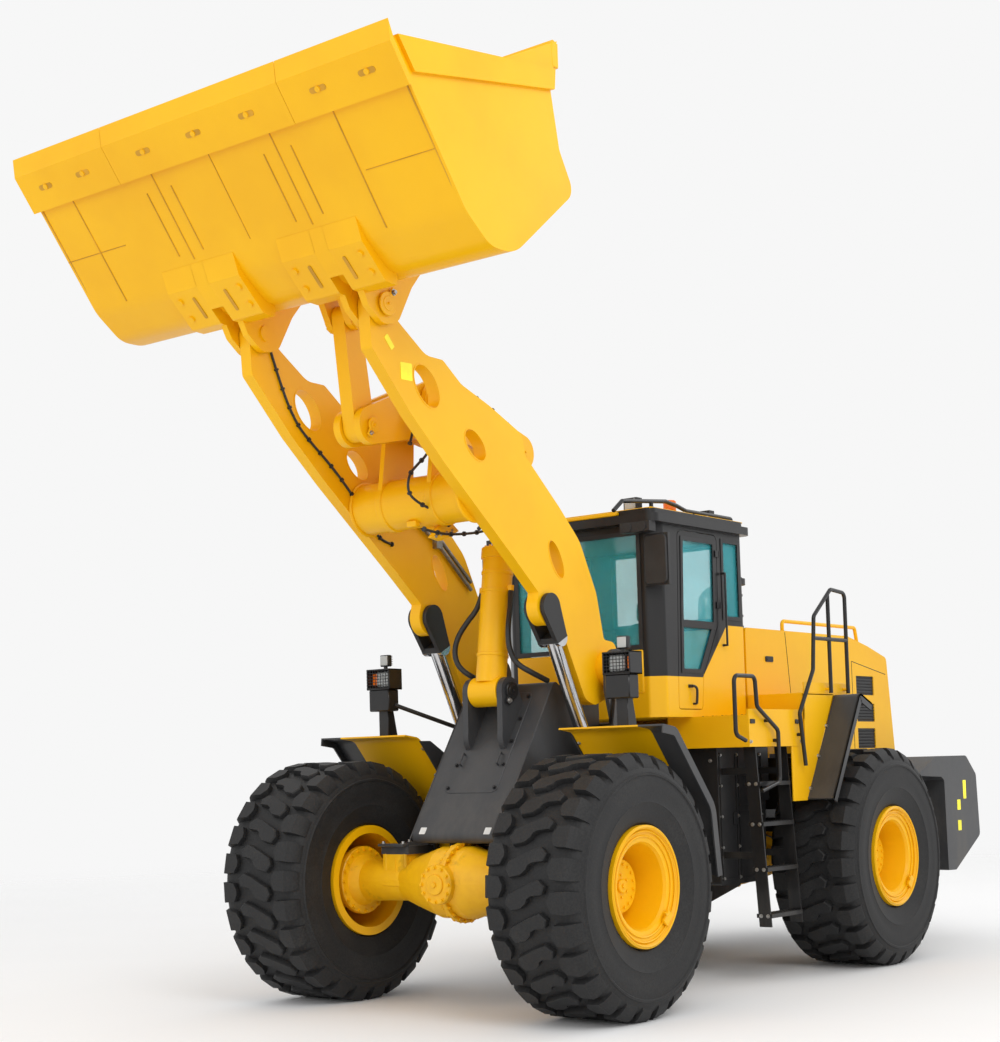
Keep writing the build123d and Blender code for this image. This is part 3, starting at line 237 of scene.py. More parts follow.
def rod_and_fork(name):
    """Chromed rod whose forked end is painted black."""
    rod = Shader(name)
    fork = (rod.along * 0.451651 + rod.height * 0.892195).between(FORK_START, FORK_START + 0.002)
    film = rod.noise(7.0, 4.0, 0.6, stretch=(1, 1, 0.3))
    tone = rod.mix(film.between(0.35, 0.75), (0.62, 0.63, 0.65), (0.42, 0.42, 0.43))
    painted = rod.mix(fork, tone, BLACK)
    gloss = (film * 0.14 + fork * 0.30 + 0.10).clamped()
    return rod.surface(Base_Color=painted, Metallic=(1 - fork).clamped(), Roughness=gloss)


def hard_chrome(name):
    chrome = Shader(name)
    film = chrome.noise(7.0, 4.0, 0.6, stretch=(1, 1, 0.3))
    tone = chrome.mix(film.between(0.35, 0.75), (0.62, 0.63, 0.65), (0.42, 0.42, 0.43))
    bumps = chrome.bump(chrome.noise(420.0, 1.0, 0.4), 0.0002, 0.2)
    gloss = (film * 0.14 + 0.10).clamped()
    return chrome.surface(Base_Color=tone, Metallic=1.0, Roughness=gloss, Normal=bumps)


def safety_glass(name, colour, alpha, glow=0.0):
    glass = Shader(name)
    film = glass.noise(2.2, 4.0, 0.6)
    tone = glass.mix(film.between(0.3, 0.8), colour, tuple(c * 0.75 for c in colour))
    dust = 1 - glass.height.between(2.5, 3.3)
    made = glass.surface(
        Base_Color=tone,
        Roughness=(film * 0.05 + dust * 0.1 + 0.02).clamped(),
        Alpha=(dust * 0.08 + film * 0.06 + alpha).clamped(),
        IOR=1.45,
        Specular_IOR_Level=0.6,
        Emission_Color=tone,
        Emission_Strength=glow,
    )
    made.surface_render_method = "BLENDED"
    return made


def moulded(name, colour, rough=0.55, pebble=0.0008):
    plastic = Shader(name)
    grain = plastic.noise(420.0, 2.0, 0.5)
    drift = plastic.noise(3.0, 4.0, 0.6)
    pale = tuple(c * 1.5 + 0.008 for c in colour)
    tone = plastic.mix(drift.between(0.35, 0.8), colour, pale)
    bumps = plastic.bump(grain, pebble, 0.5)
    gloss = (drift * 0.14 + (rough - 0.07)).clamped()
    return plastic.surface(Base_Color=tone, Roughness=gloss, Normal=bumps)


def woven(name, colour):
    """Seat cloth: a fine two-way weave with a little fuzz."""
    cloth = Shader(name)
    warp = cloth.node(
        "ShaderNodeTexWave", {"bands_direction": "Y"}, {"Vector": cloth.position, "Scale": 90.0}
    )
    weft = cloth.node(
        "ShaderNodeTexWave", {"bands_direction": "Z"}, {"Vector": cloth.position, "Scale": 90.0}
    )
    fuzz = cloth.noise(180.0, 3.0, 0.7)
    tone = cloth.mix(fuzz.between(0.3, 0.7), colour, tuple(c * 1.9 + 0.01 for c in colour))
    bumps = cloth.bump(warp * 0.5 + weft * 0.5, 0.0014, 0.6, cloth.bump(fuzz, 0.001, 0.4))
    gloss = (fuzz * 0.1 + 0.8).clamped()
    return cloth.surface(Base_Color=tone, Roughness=gloss, Normal=bumps, Sheen_Weight=0.25)


def cast_paint(name, colour, deep):
    """Paint over a rough casting."""
    cast = Shader(name)
    sand = cast.noise(150.0, 3.0, 0.6)
    lumps = cast.noise(12.0, 4.0, 0.55)
    oil = cast.noise(4.0, 5.0, 0.65, seed=2.0)
    tone = cast.mix(lumps.between(0.3, 0.75), colour, deep)
    stained = cast.mix(oil.between(0.57, 0.72) * 0.5, tone, tuple(c * 0.4 for c in deep))
    bumps = cast.bump(sand, 0.0014, 0.55, cast.bump(lumps, 0.004, 0.25))
    gloss = (sand * 0.15 + 0.34 + oil * 0.1).clamped()
    return cast.surface(Base_Color=stained, Roughness=gloss, Normal=bumps)


YELLOW = (0.93, 0.50, 0.0)
DEEP_YELLOW = (0.88, 0.45, 0.0)
CHARCOAL = (0.050, 0.051, 0.054)
BLACK = (0.014, 0.014, 0.015)
DUST = (0.20, 0.18, 0.15)
MATERIALS = {}


def finish_named(name):
    """The material of that name, made once."""
    if name not in MATERIALS:
        recipe, terms, _ = FINISHES[name]
        MATERIALS[name] = recipe(name, *terms)
    return MATERIALS[name]


FINISHES = {  # recipe, its terms, the record's material slot
    "yellow_enamel": (enamel, (YELLOW, DEEP_YELLOW, 0.02, 0.42, 0.06, 0.0), "yellow_paint"),
    "charcoal_enamel": (enamel, (CHARCOAL, (0.036, 0.037, 0.040), 0.25, 0.42, 0.15, 0.15), "grey_paint"),
    "black_enamel": (enamel, (BLACK, (0.010, 0.010, 0.011), 0.12, 0.36, 0.2), "black_paint"),
    "cab_enamel": (
        enamel,
        (BLACK, (0.010, 0.010, 0.011), 0.10, 0.34, 0.15, 0.0, below_sill, YELLOW),
        "black_paint",
    ),
    "rod_and_fork": (rod_and_fork, (), "chrome"),
    "yellow_casting": (cast_paint, (YELLOW, DEEP_YELLOW), "yellow_paint"),
    "black_casting": (cast_paint, ((0.03, 0.03, 0.031), (0.02, 0.02, 0.02)), "dark_paint"),
    "tyre_rubber": (rubber, (), "tyre"),
    "hose_cover": (moulded, ((0.012, 0.012, 0.012), 0.42, 0.0012), "black_plastic"),
    "worn_steel": (bare_steel, ((0.34, 0.33, 0.31), (0.22, 0.21, 0.19)), "steel"),
    "zinc": (bare_steel, ((0.55, 0.54, 0.52), (0.40, 0.39, 0.37), 0.32), "steel"),
    "rod_chrome": (hard_chrome, (), "chrome"),
    "tinted_glass": (safety_glass, ((0.10, 0.70, 0.78), 0.24), "glass"),
    "lamp_glass": (safety_glass, ((0.80, 0.82, 0.80), 0.60), "lamp_glass"),
    "amber_lens": (safety_glass, ((0.80, 0.16, 0.005), 0.9, 0.25), "lamp_glass"),
    "red_lens": (safety_glass, ((0.45, 0.008, 0.006), 0.92, 0.1), "lamp_glass"),
    "mirror_glass": (hard_chrome, (), "chrome"),
    "black_plastic": (moulded, ((0.014, 0.014, 0.015),), "black_plastic"),
    # a darker brownish yellow that paints shade into the bucket's weld creases, heel slots and bolt pockets
    "weld_bead": (moulded, ((0.50, 0.24, 0.002), 0.5, 0.0006), "yellow_paint"),
    "blank_sticker": (moulded, ((0.95, 0.84, 0.01), 0.35, 0.0002), "yellow_paint"),
    "pale_sticker": (moulded, ((0.62, 0.62, 0.60), 0.35, 0.0002), "yellow_paint"),
    "seat_cloth": (woven, ((0.02, 0.02, 0.023),), "seat_fabric"),
}

CAD_FINISH = {
    "front_frame": "charcoal_enamel",
    "counterweight": "charcoal_enamel",
    "fender_lips": "charcoal_enamel",
    "rear_fenders": "charcoal_enamel",
    "rear_frame": "black_enamel",
    "lamp_brackets": "black_enamel",
    "lift_forks": "black_enamel",
    "grille_door": "black_enamel",
    "equipment_boxes": "black_enamel",
    "ladders": "black_enamel",
    "handrails": "black_enamel",
    "roof_rail": "black_enamel",
    "cab_shell": "cab_enamel",
    "cab_door": "cab_enamel",
    "cab_roof": "black_enamel",
    "front_axle": "yellow_casting",
    "rear_axle": "yellow_casting",
    "front_shaft": "black_casting",
    "engine": "black_casting",
    "transmission": "black_casting",
    "vent_grilles": "black_plastic",
    "roof_lamps": "black_plastic",
    "mirrors": "black_plastic",
    "steering_column": "black_plastic",
    "intake_stack": "black_plastic",
    "headlamps": "lamp_glass",
    "cab_glass": "tinted_glass",
    "door_glass": "tinted_glass",
    "arm_pipes": "worn_steel",
    "lift_rods": "rod_and_fork",
    "tilt_rod": "rod_chrome",
    "seat": "seat_cloth",
}


def cad_finish(node):
    if node.startswith("tyre_"):
        return "tyre_rubber"
    return CAD_FINISH.get(node, "yellow_enamel")


# ---------------------------------------------------------------- meshes
class Shape:
    """Faces of one piece, gathered before they become its mesh."""

    def __init__(self):
        self.form = bmesh.new()

    def skin(self, rings, closed=False):
        """Faces between rings of points, with flat ends or, closed, back to the first ring."""
        made = [[self.form.verts.new(spot) for spot in ring] for ring in rings]
        pairs = list(zip(made, made[1:]))
        if closed:
            pairs.append((made[-1], made[0]))
        for near, far in pairs:
            for first in range(len(near)):
                second = (first + 1) % len(near)
                self.form.faces.new((near[first], near[second], far[second], far[first]))
        if not closed:
            self.form.faces.new(made[0][::-1])
            self.form.faces.new(made[-1])
        return self

    def rod(self, start, end, radius, sides=24, rim=0.0):
        """A round bar, its rims bevelled."""
        start, end = Vector(start), Vector(end)
        run = end - start
        out = run.normalized()
        across = out.orthogonal().normalized()
        up = out.cross(across)
        length = run.length
        stations = [(0, radius - rim), (rim, radius), (length - rim, radius), (length, radius - rim)]
        if not rim:
            stations = stations[1:3]
        rings = []
        for distance, ring_radius in stations:
            turns = [math.tau * step / sides for step in range(sides)]
            spokes = [across * math.cos(turn) + up * math.sin(turn) for turn in turns]
            rings.append([start + out * distance + spoke * ring_radius for spoke in spokes])
        return self.skin(rings)

    def turned(self, profile, centre, steps=48, axis=Vector((0, 1, 0))):
        """A closed profile of (radius, offset) turned about an axis through centre."""
        centre = Vector(centre)
        across = Vector((1, 0, 0)) if abs(axis.x) < 0.5 else Vector((0, 0, 1))
        across = (across - axis * across.dot(axis)).normalized()
        up = across.cross(axis)
        rings = []
        for step in range(steps):
            turn = math.tau * step / steps
            spoke = across * math.cos(turn) + up * math.sin(turn)
            rings.append([centre + spoke * radius + axis * offset for radius, offset in profile])
        return self.skin(rings, closed=True)

    def sleeve(self, start, end, radius, inner, sides=44, rim=0.004):
        """A ring between two points, with a bore through it and bevelled outer rims."""
        start, run = Vector(start), Vector(end) - Vector(start)
        length = run.length
        outer = [(radius - rim, 0), (radius, rim), (radius, length - rim), (radius - rim, length)]
        return self.turned([(inner, 0), *outer, (inner, length)], start, sides, run.normalized())

    def prism(self, outline, origin, across, up, depth, edge=0.0):
        """An outline of (a, b) in the plane of across and up, pushed out along depth."""
        origin, across, up, depth = (Vector(term) for term in (origin, across, up, depth))
        spots = [origin + across * a + up * b for a, b in outline]
        old = set(self.form.edges)
        self.skin([spots, [spot + depth for spot in spots]])
        if edge:
            new = [line for line in self.form.edges if line not in old]
            bmesh.ops.bevel(self.form, geom=new, offset=edge, segments=1, affect="EDGES")
        return self

    def block(self, low, high, edge=0.0):
        """A box between two corners, given in any order, its edges bevelled."""
        (x0, x1), (y0, y1), (z0, z1) = (sorted(pair) for pair in zip(low, high))
        outline = [(x0, y0), (x1, y0), (x1, y1), (x0, y1)]
        return self.prism(outline, (0, 0, z0), (1, 0, 0), (0, 1, 0), (0, 0, z1 - z0), edge)

    def mesh(self, name):
        bmesh.ops.recalc_face_normals(self.form, faces=self.form.faces)
        made = bpy.data.meshes.new(name)
        self.form.to_mesh(made)
        self.form.free()
        return made


def rounded(width, height, corner, steps=4):
    """An outline round a rectangle with round corners, centred on 0."""
    spots = []
    for quarter, (a, b) in enumerate(((1, 1), (-1, 1), (-1, -1), (1, -1))):
        for step in range(steps + 1):
            turn = math.pi / 2 * (quarter + step / steps)
            centre = (a * (width / 2 - corner), b * (height / 2 - corner))
            spots.append((centre[0] + corner * math.cos(turn), centre[1] + corner * math.sin(turn)))
    return spots


def placed(name, mesh):
    piece = bpy.data.objects.new(name, mesh)
    bpy.context.scene.collection.objects.link(piece)
    return piece


def dress(name, mesh, finish, body, crease=38.0):
    """Makes a mesh a finished piece that rides on a body, or on none."""
    mesh.name = name
    mesh.materials.clear()
    mesh.materials.append(finish_named(finish))
    mesh.polygons.foreach_set("use_smooth", [True] * len(mesh.polygons))
    mesh.set_sharp_from_angle(angle=math.radians(crease))
    piece = placed(name, mesh)
    if body:
        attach(piece, body)
    return piece


# ---------------------------------------------------------------- geometry node trees
class Tree:
    """A Geometry Nodes tree whose inputs are named."""

    def __init__(self, name, **inputs):
        self.group = bpy.data.node_groups.new(name, "GeometryNodeTree")
        sockets = self.group.interface
        sockets.new_socket("Geometry", in_out="INPUT", socket_type="NodeSocketGeometry")
        self.keys = {}
        for title, kind in {**inputs, "Finish": "Material"}.items():
            socket = sockets.new_socket(title, in_out="INPUT", socket_type="NodeSocket" + kind)
            self.keys[title] = socket.identifier
        sockets.new_socket("Geometry", in_out="OUTPUT", socket_type="NodeSocketGeometry")
        self.inputs = self.group.nodes.new("NodeGroupInput").outputs

    def node(self, kind, settings, values, output=0):
        """Adds a node, sets it up, then fills its inputs with values or links."""
        made = self.group.nodes.new(kind)
        for name, setting in settings.items():
            setattr(made, name, setting)
        for key, value in values.items():
            if isinstance(value, bpy.types.NodeSocket):
                self.group.links.new(value, made.inputs[key])
            else:
                made.inputs[key].default_value = value
        return made.outputs[output]

    def maths(self, operation, *terms):
        return self.node("ShaderNodeMath", {"operation": operation}, dict(enumerate(terms)))

    def close(self, geometry):
        """Ends the tree in real geometry with its finish."""
        real = self.node("GeometryNodeRealizeInstances", {}, {0: geometry})
        values = {"Geometry": real, "Material": self.inputs["Finish"]}
        painted = self.node("GeometryNodeSetMaterial", {}, values)
        output = self.group.nodes.new("NodeGroupOutput")
        self.group.links.new(painted, output.inputs[0])
        return self

    def grow(self, base, finish, **inputs):
        """The plain mesh that the tree makes on a base object, which is removed."""
        modifier = base.modifiers.new(self.group.name, "NODES")
        modifier.node_group = self.group
        modifier[self.keys["Finish"]] = finish_named(finish)
        for title, value in inputs.items():
            modifier[self.keys[title]] = value
        base.update_tag()
        graph = bpy.context.evaluated_depsgraph_get()
        mesh = bpy.data.meshes.new_from_object(base.evaluated_get(graph), depsgraph=graph)
        base.modifiers.remove(modifier)
        bpy.data.objects.remove(base)
        return mesh


TREES = {}


def tree_named(name):
    if name not in TREES:
        TREES[name] = TREE_MAKERS[name](name)
    return TREES[name]


def bolt_tree(name):
    """A washer and a head on every point, turned to the point's own direction."""
    tree = Tree(name, Head="Float", Height="Float", Washer="Float", Seat="Float", Sides="Int")
    seat = tree.node(
        "GeometryNodeMeshCylinder", {}, {
            "Vertices": 14, "Radius": tree.inputs["Washer"], "Depth": tree.inputs["Seat"]
        }
    )
    values = {"Vertices": tree.inputs["Sides"], "Radius": tree.inputs["Head"], "Depth": tree.inputs["Height"]}
    head = tree.node("GeometryNodeMeshCylinder", {}, values)
    rise = tree.maths("MULTIPLY", tree.inputs["Height"], 0.5)
    lift = tree.node("ShaderNodeCombineXYZ", {}, {"Z": rise})
    raised = tree.node("GeometryNodeTransform", {}, {"Geometry": head, "Translation": lift})
    bolt = tree.node("GeometryNodeJoinGeometry", {}, {0: seat})
    tree.group.links.new(raised, bolt.node.inputs[0])
    out = tree.node("GeometryNodeInputNamedAttribute", {"data_type": "FLOAT_VECTOR"}, {"Name": "out"})
    turn = tree.node("FunctionNodeAlignRotationToVector", {"axis": "Z"}, {"Vector": out})
    values = {"Points": tree.inputs["Geometry"], "Instance": bolt, "Rotation": turn}
    return tree.close(tree.node("GeometryNodeInstanceOnPoints", {}, values))


def repeat_tree(name):
    """Copies of the base, each turned and shifted one step further than the last."""
    tree = Tree(name, Count="Int", Turn="Vector", Centre="Vector", Shift="Vector")
    spots = tree.node("GeometryNodePoints", {}, {"Count": tree.inputs["Count"]})
    index = tree.node("GeometryNodeInputIndex", {}, {})
    values = {"Points": spots, "Instance": tree.inputs["Geometry"]}
    copies = tree.node("GeometryNodeInstanceOnPoints", {}, values)
    scale = {"operation": "SCALE"}
    turn = tree.node("ShaderNodeVectorMath", scale, {0: tree.inputs["Turn"], "Scale": index})
    shift = tree.node("ShaderNodeVectorMath", scale, {0: tree.inputs["Shift"], "Scale": index})
    values = {
        "Instances": copies, "Rotation": turn, "Pivot Point": tree.inputs["Centre"], "Local Space": False
    }
    turned = tree.node("GeometryNodeRotateInstances", {}, values)
    values = {"Instances": turned, "Translation": shift, "Local Space": False}
    return tree.close(tree.node("GeometryNodeTranslateInstances", {}, values))


def pipe_tree(name):
    """A round pipe along a path, with clips spaced along it."""
    tree = Tree(name, Radius="Float", Sides="Int", Clips="Bool", Spacing="Float", Clip="Float", Grip="Float")
    values = {"Resolution": tree.inputs["Sides"], "Radius": tree.inputs["Radius"]}
    section = tree.node("GeometryNodeCurvePrimitiveCircle", {}, values)
    values = {"Curve": tree.inputs["Geometry"], "Profile Curve": section, "Fill Caps": True}
    pipe = tree.node("GeometryNodeCurveToMesh", {}, values)
    values = {"Curve": tree.inputs["Geometry"], "Length": tree.inputs["Spacing"]}
    spots = tree.node("GeometryNodeCurveToPoints", {"mode": "LENGTH"}, values)
    values = {"Vertices": 12, "Radius": tree.inputs["Clip"], "Depth": tree.inputs["Grip"]}
    clip = tree.node("GeometryNodeMeshCylinder", {}, values)
    values = {"Points": spots, "Instance": clip, "Rotation": spots.node.outputs["Rotation"]}
    clips = tree.node("GeometryNodeInstanceOnPoints", {}, values)
    both = tree.node("GeometryNodeJoinGeometry", {}, {0: clips})
    tree.group.links.new(pipe, both.node.inputs[0])
    values = {"Switch": tree.inputs["Clips"], "False": pipe, "True": both}
    return tree.close(tree.node("GeometryNodeSwitch", {"input_type": "GEOMETRY"}, values))


TREE_MAKERS = {"bolts": bolt_tree, "repeat": repeat_tree, "pipe": pipe_tree}


def bolts(name, spots, body, head=0.014, height=None, washer=1.5, sides=6, finish="zinc"):
    """Bolts at (place, direction) spots, joined into one piece."""
    mesh = bpy.data.meshes.new(name)
    mesh.from_pydata([tuple(place) for place, _ in spots], [], [])
    out = mesh.attributes.new("out", "FLOAT_VECTOR", "POINT")
    for item, (_, direction) in zip(out.data, spots):
        item.vector = direction
    height = height or head * 1.4
    inputs = {"Head": head, "Height": height, "Washer": head * washer, "Seat": height * 0.45, "Sides": sides}
    return dress(name, tree_named("bolts").grow(placed(name, mesh), finish, **inputs), finish, body, 30.0)


def repeated(shape, finish, count, turn=(0, 0, 0), centre=(0, 0, 0), shift=(0, 0, 0)):
    """The mesh of a shape repeated count times."""
    base = placed("pattern", shape.mesh("pattern"))
    inputs = {"Count": count, "Turn": list(turn), "Centre": list(centre), "Shift": list(shift)}
    return tree_named("repeat").grow(base, finish, **inputs)


def pipe(name, points, radius, body, finish, sides=12, clips=0.0, clip=1.5, grip=0.02, straight=False):
    """A pipe, hose or lead through points, as one smooth line or in straight runs."""
    line = bpy.data.curves.new(name, "CURVE")
    line.dimensions = "3D"
    line.resolution_u = 8
    spline = line.splines.new("POLY" if straight else "NURBS")
    spline.points.add(len(points) - 1)
    for spot, point in zip(spline.points, points):
        spot.co = (*point, 1.0)
    if not straight:
        spline.order_u = 3
        spline.use_endpoint_u = True
    inputs = {"Radius": radius, "Sides": sides, "Clips": clips > 0, "Spacing": clips or 1.0}
    inputs.update({"Clip": radius * clip, "Grip": grip})
    return dress(name, tree_named("pipe").grow(placed(name, line), finish, **inputs), finish, body, 50.0)


def ring_spots(centre, radius, count, axis, phase=0.0):
    """Spots on a circle, each facing along the axis."""
    axis = Vector(axis)
    across = Vector((0, 0, 1)) if abs(axis.z) < 0.9 else Vector((1, 0, 0))
    across = (across - axis * across.dot(axis)).normalized()
    up = axis.cross(across)
    turns = [math.tau * (step + phase) / count for step in range(count)]
    return [
        (Vector(centre) + (across * math.cos(turn) + up * math.sin(turn)) * radius, axis) for turn in turns
    ]


def row_spots(start, end, count, out):
    """Spots spaced evenly on a line, both ends included."""
    start, end = Vector(start), Vector(end)
    return [(start.lerp(end, step / (count - 1)), Vector(out)) for step in range(count)]


def both_hands(spots):
    """Spots on the left, and the same on the right."""
    flipped = [(Vector((p.x, -p.y, p.z)), Vector((d[0], -d[1], d[2]))) for p, d in spots]
    return spots + flipped


# ---------------------------------------------------------------- stage
class LOADER_PG_stage(bpy.types.PropertyGroup):
    eye: bpy.props.FloatVectorProperty(
        name="Camera place",
        description="Where the camera stands",
        default=(13.819, 9.436, 1.976),
        subtype="TRANSLATION",
        unit="LENGTH",
    )
    heading: bpy.props.FloatProperty(
        name="Camera heading", description="Direction of view in plan", default=-2.454, subtype="ANGLE"
    )
    pitch: bpy.props.FloatProperty(
        name="Camera pitch", description="Upward tilt of the view", default=0.066, subtype="ANGLE"
    )
    roll: bpy.props.FloatProperty(
        name="Camera roll", description="Turn about the line of sight", default=-0.027, subtype="ANGLE"
    )
    lens: bpy.props.FloatProperty(name="Lens", description="Focal length on a 36 mm sensor", default=61.92)
    key_power: bpy.props.FloatProperty(
        name="Key light", description="Power of the main soft light", default=820, unit="POWER"
    )
    air: bpy.props.FloatProperty(
        name="Room light", description="Strength of the light from all round", default=0.93
    )


class LOADER_OT_stage(bpy.types.Operator):
    """Set up the floor, the soft light and the camera"""

    bl_idname = "loader.stage"
    bl_label = "Stage"

    def execute(self, context):
        stage = context.scene.loader_stage
        scene = context.scene
        camera = bpy.data.objects.new("view_camera", bpy.data.cameras.new("view_camera"))
        scene.collection.objects.link(camera)
        camera.data.lens = stage.lens
        camera.data.sensor_width = 36.0
        camera.data.shift_x = 0.054
        camera.data.shift_y = 0.1238
        camera.data.clip_end = 200
        level = Vector((math.cos(stage.heading), math.sin(stage.heading), 0))
        forward = level * math.cos(stage.pitch) + Vector((0, 0, math.sin(stage.pitch)))
        side = Vector((math.sin(stage.heading), -math.cos(stage.heading), 0))
        up = side.cross(forward)
        right = side * math.cos(stage.roll) + up * math.sin(stage.roll)
        top = up * math.cos(stage.roll) - side * math.sin(stage.roll)
        turn = Matrix((right, top, -forward)).transposed()
        camera.matrix_world = Matrix.Translation(stage.eye) @ turn.to_4x4()
        scene.camera = camera

        edge = 60.0
        paper = bpy.data.meshes.new("studio_floor")
        corners = [(-edge, -edge, 0), (edge, -edge, 0), (edge, edge, 0), (-edge, edge, 0)]
        paper.from_pydata(corners, [], [(0, 1, 2, 3)])
        floor = placed("studio_floor", paper)
        sheen = Shader("studio_paper")
        cloud = sheen.noise(0.4, 2.0, 0.5)
        tone = sheen.mix(cloud, (0.90, 0.90, 0.90), (0.93, 0.93, 0.93))
        away = sheen.node("ShaderNodeVectorMath", {"operation": "LENGTH"}, {0: sheen.position}, "Value")
        fade = 1 - away.between(9.0, 26.0)
        floor.data.materials.append(sheen.surface(Base_Color=tone, Roughness=0.9, Alpha=fade))

        world = bpy.data.worlds.new("studio_air")
        world.use_nodes = True
        world.node_tree.nodes["Background"].inputs[0].default_value = (1.0, 1.0, 1.0, 1.0)
        world.node_tree.nodes["Background"].inputs[1].default_value = stage.air
        scene.world = world
        lights = (
            ("key", (9.0, 13.0, 13.0), 9.0, stage.key_power),
            ("front", (20.0, -4.0, 9.0), 9.0, stage.key_power * 0.35),
            ("rear", (-14.0, 8.0, 12.0), 8.0, stage.key_power * 0.4),
        )
        aim = Vector((0.5, 0, 2.6))
        for name, place, size, power in lights:
            lamp = bpy.data.lights.new(name + "_light", "AREA")
            lamp.shape = "DISK"
            lamp.size = size
            lamp.energy = power
            holder = bpy.data.objects.new(name + "_light", lamp)
            scene.collection.objects.link(holder)
            holder.location = place
            holder.rotation_euler = (aim - Vector(place)).to_track_quat("-Z", "Y").to_euler()
        scene.view_settings.view_transform = "Standard"
        return {"FINISHED"}


class LOADER_OT_paint(bpy.types.Operator):
    """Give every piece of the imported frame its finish"""

    bl_idname = "loader.paint"
    bl_label = "Paint the frame"

    def execute(self, context):
        for name, node in frame["nodes"].items():
            material = finish_named(cad_finish(name))
            if not node.data.materials:
                node.data.materials.append(material)
            for index in range(len(node.data.materials)):
                node.data.materials[index] = material
        return {"FINISHED"}


# ---------------------------------------------------------------- wheels
class LOADER_PG_tyre(bpy.types.PropertyGroup):
    radius: bpy.props.FloatProperty(name="Radius", description="Out to the lugs", default=1.03, unit="LENGTH")
    groove: bpy.props.FloatProperty(
        name="Groove", description="Depth of the tread", default=0.05, unit="LENGTH"
    )
    pitches: bpy.props.IntProperty(name="Pitches", description="Lugs in each row of the tread", default=26)
    nuts: bpy.props.IntProperty(name="Wheel nuts", description="Nuts on each wheel's disc", default=24)


CENTRE_LUG = [  # offset across the tread in metres, place along it in pitches
    (-0.185, -0.26),
    (-0.155, 0.00),
    (0.030, 0.34),
    (0.120, 0.46),
    (0.182, 0.26),
    (0.160, 0.02),
    (0.066, -0.03),
    (0.024, -0.12),
    (0.010, -0.26),
    (-0.040, -0.42),
    (-0.140, -0.50),
]
SHOULDER_LUG = [  # offset, half length in pitches, top below the tread radius, bottom below it
    (0.205, 0.07, 0.002, 0.060),
    (0.238, 0.33, 0.000, 0.060),
    (0.350, 0.36, 0.000, 0.062),
    (0.385, 0.36, 0.030, 0.085),
    (0.424, 0.34, 0.098, 0.125),
]
CARCASS = [  # radius, offset from the centre plane, of a tyre's outer skin from bead to crown
    (0.420, 0.361),
    (0.476, 0.361),
    (0.492, 0.384),
    (0.560, 0.411),
    (0.640, 0.428),
    (0.650, 0.434),
    (0.662, 0.430),
    (0.740, 0.440),
    (0.800, 0.443),
    (0.848, 0.440),
    (0.856, 0.449),
    (0.870, 0.449),
    (0.878, 0.437),
    (0.910, 0.424),
    (0.945, 0.400),
    (0.966, 0.368),
    (0.978, 0.300),
    (0.982, 0.160),
]


class LOADER_OT_tyres(bpy.types.Operator):
    """Mould the four tyres, with two-lobed centre lugs between rows of shoulder lugs"""

    bl_idname = "loader.tyres"
    bl_label = "Tyres"

    def execute(self, context):
        tyre = context.scene.loader_tyre
        pitch = math.tau / tyre.pitches
        for wheel, side in WHEELS.items():
            hub = pin(wheel + "_spin")
            carcass = Shape()
            inside = [(radius, -offset) for radius, offset in reversed(CARCASS)]
            carcass.turned([*CARCASS, *inside], hub, steps=4 * tyre.pitches)
            body = placed("carcass", carcass.mesh("carcass"))

            def spot(radius, offset, along):
                turn = along * pitch
                return hub + Vector((radius * math.cos(turn), offset, radius * math.sin(turn)))

            lugs = Shape()
            for hand in SIDES:
                rings = []
                for offset, half, top, bottom in SHOULDER_LUG:
                    corners = [(top, half * 0.96), (bottom, half), (bottom, -half), (top, -half * 0.96)]
                    shift = -0.22 * hand * side
                    rings.append(
                        [spot(tyre.radius - drop, hand * offset, shift + along) for drop, along in corners]
                    )
                lugs.skin(rings)
            centre = (
                sum(a for a, _ in CENTRE_LUG) / len(CENTRE_LUG),
                sum(b for _, b in CENTRE_LUG) / len(CENTRE_LUG)
            )
            rings = []
            for drop, share in ((tyre.groove, 1.04), (0.008, 1.0), (0.0, 0.94)):
                around = [
                    (
                        centre[0] + (a - centre[0]) * share, centre[1] + (b - centre[1]) * share
                    ) for a, b in CENTRE_LUG
                ]
                rings.append([spot(tyre.radius - drop, side * a, b) for a, b in around])
            lugs.skin(rings)
            tread = repeated(lugs, "tyre_rubber", tyre.pitches, turn=(0, pitch, 0), centre=hub)
            pattern = placed("tread", tread)
            joined = bmesh.new()
            for part in (body, pattern):
                joined.from_mesh(part.data)
                bpy.data.objects.remove(part)
            mesh = bpy.data.meshes.new("tyre")
            joined.to_mesh(mesh)
            joined.free()
            piece = dress("tyre_tread_" + wheel, mesh, "tyre_rubber", "wheel_" + wheel, 32.0)
            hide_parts("tyre_" + wheel)
        return {"FINISHED"}


RIM_RINGS = ((0.456, 0.408, 0.010), (0.425, 0.392, 0.007), (0.386, 0.379, 0.008))  # radius, offset, thickness


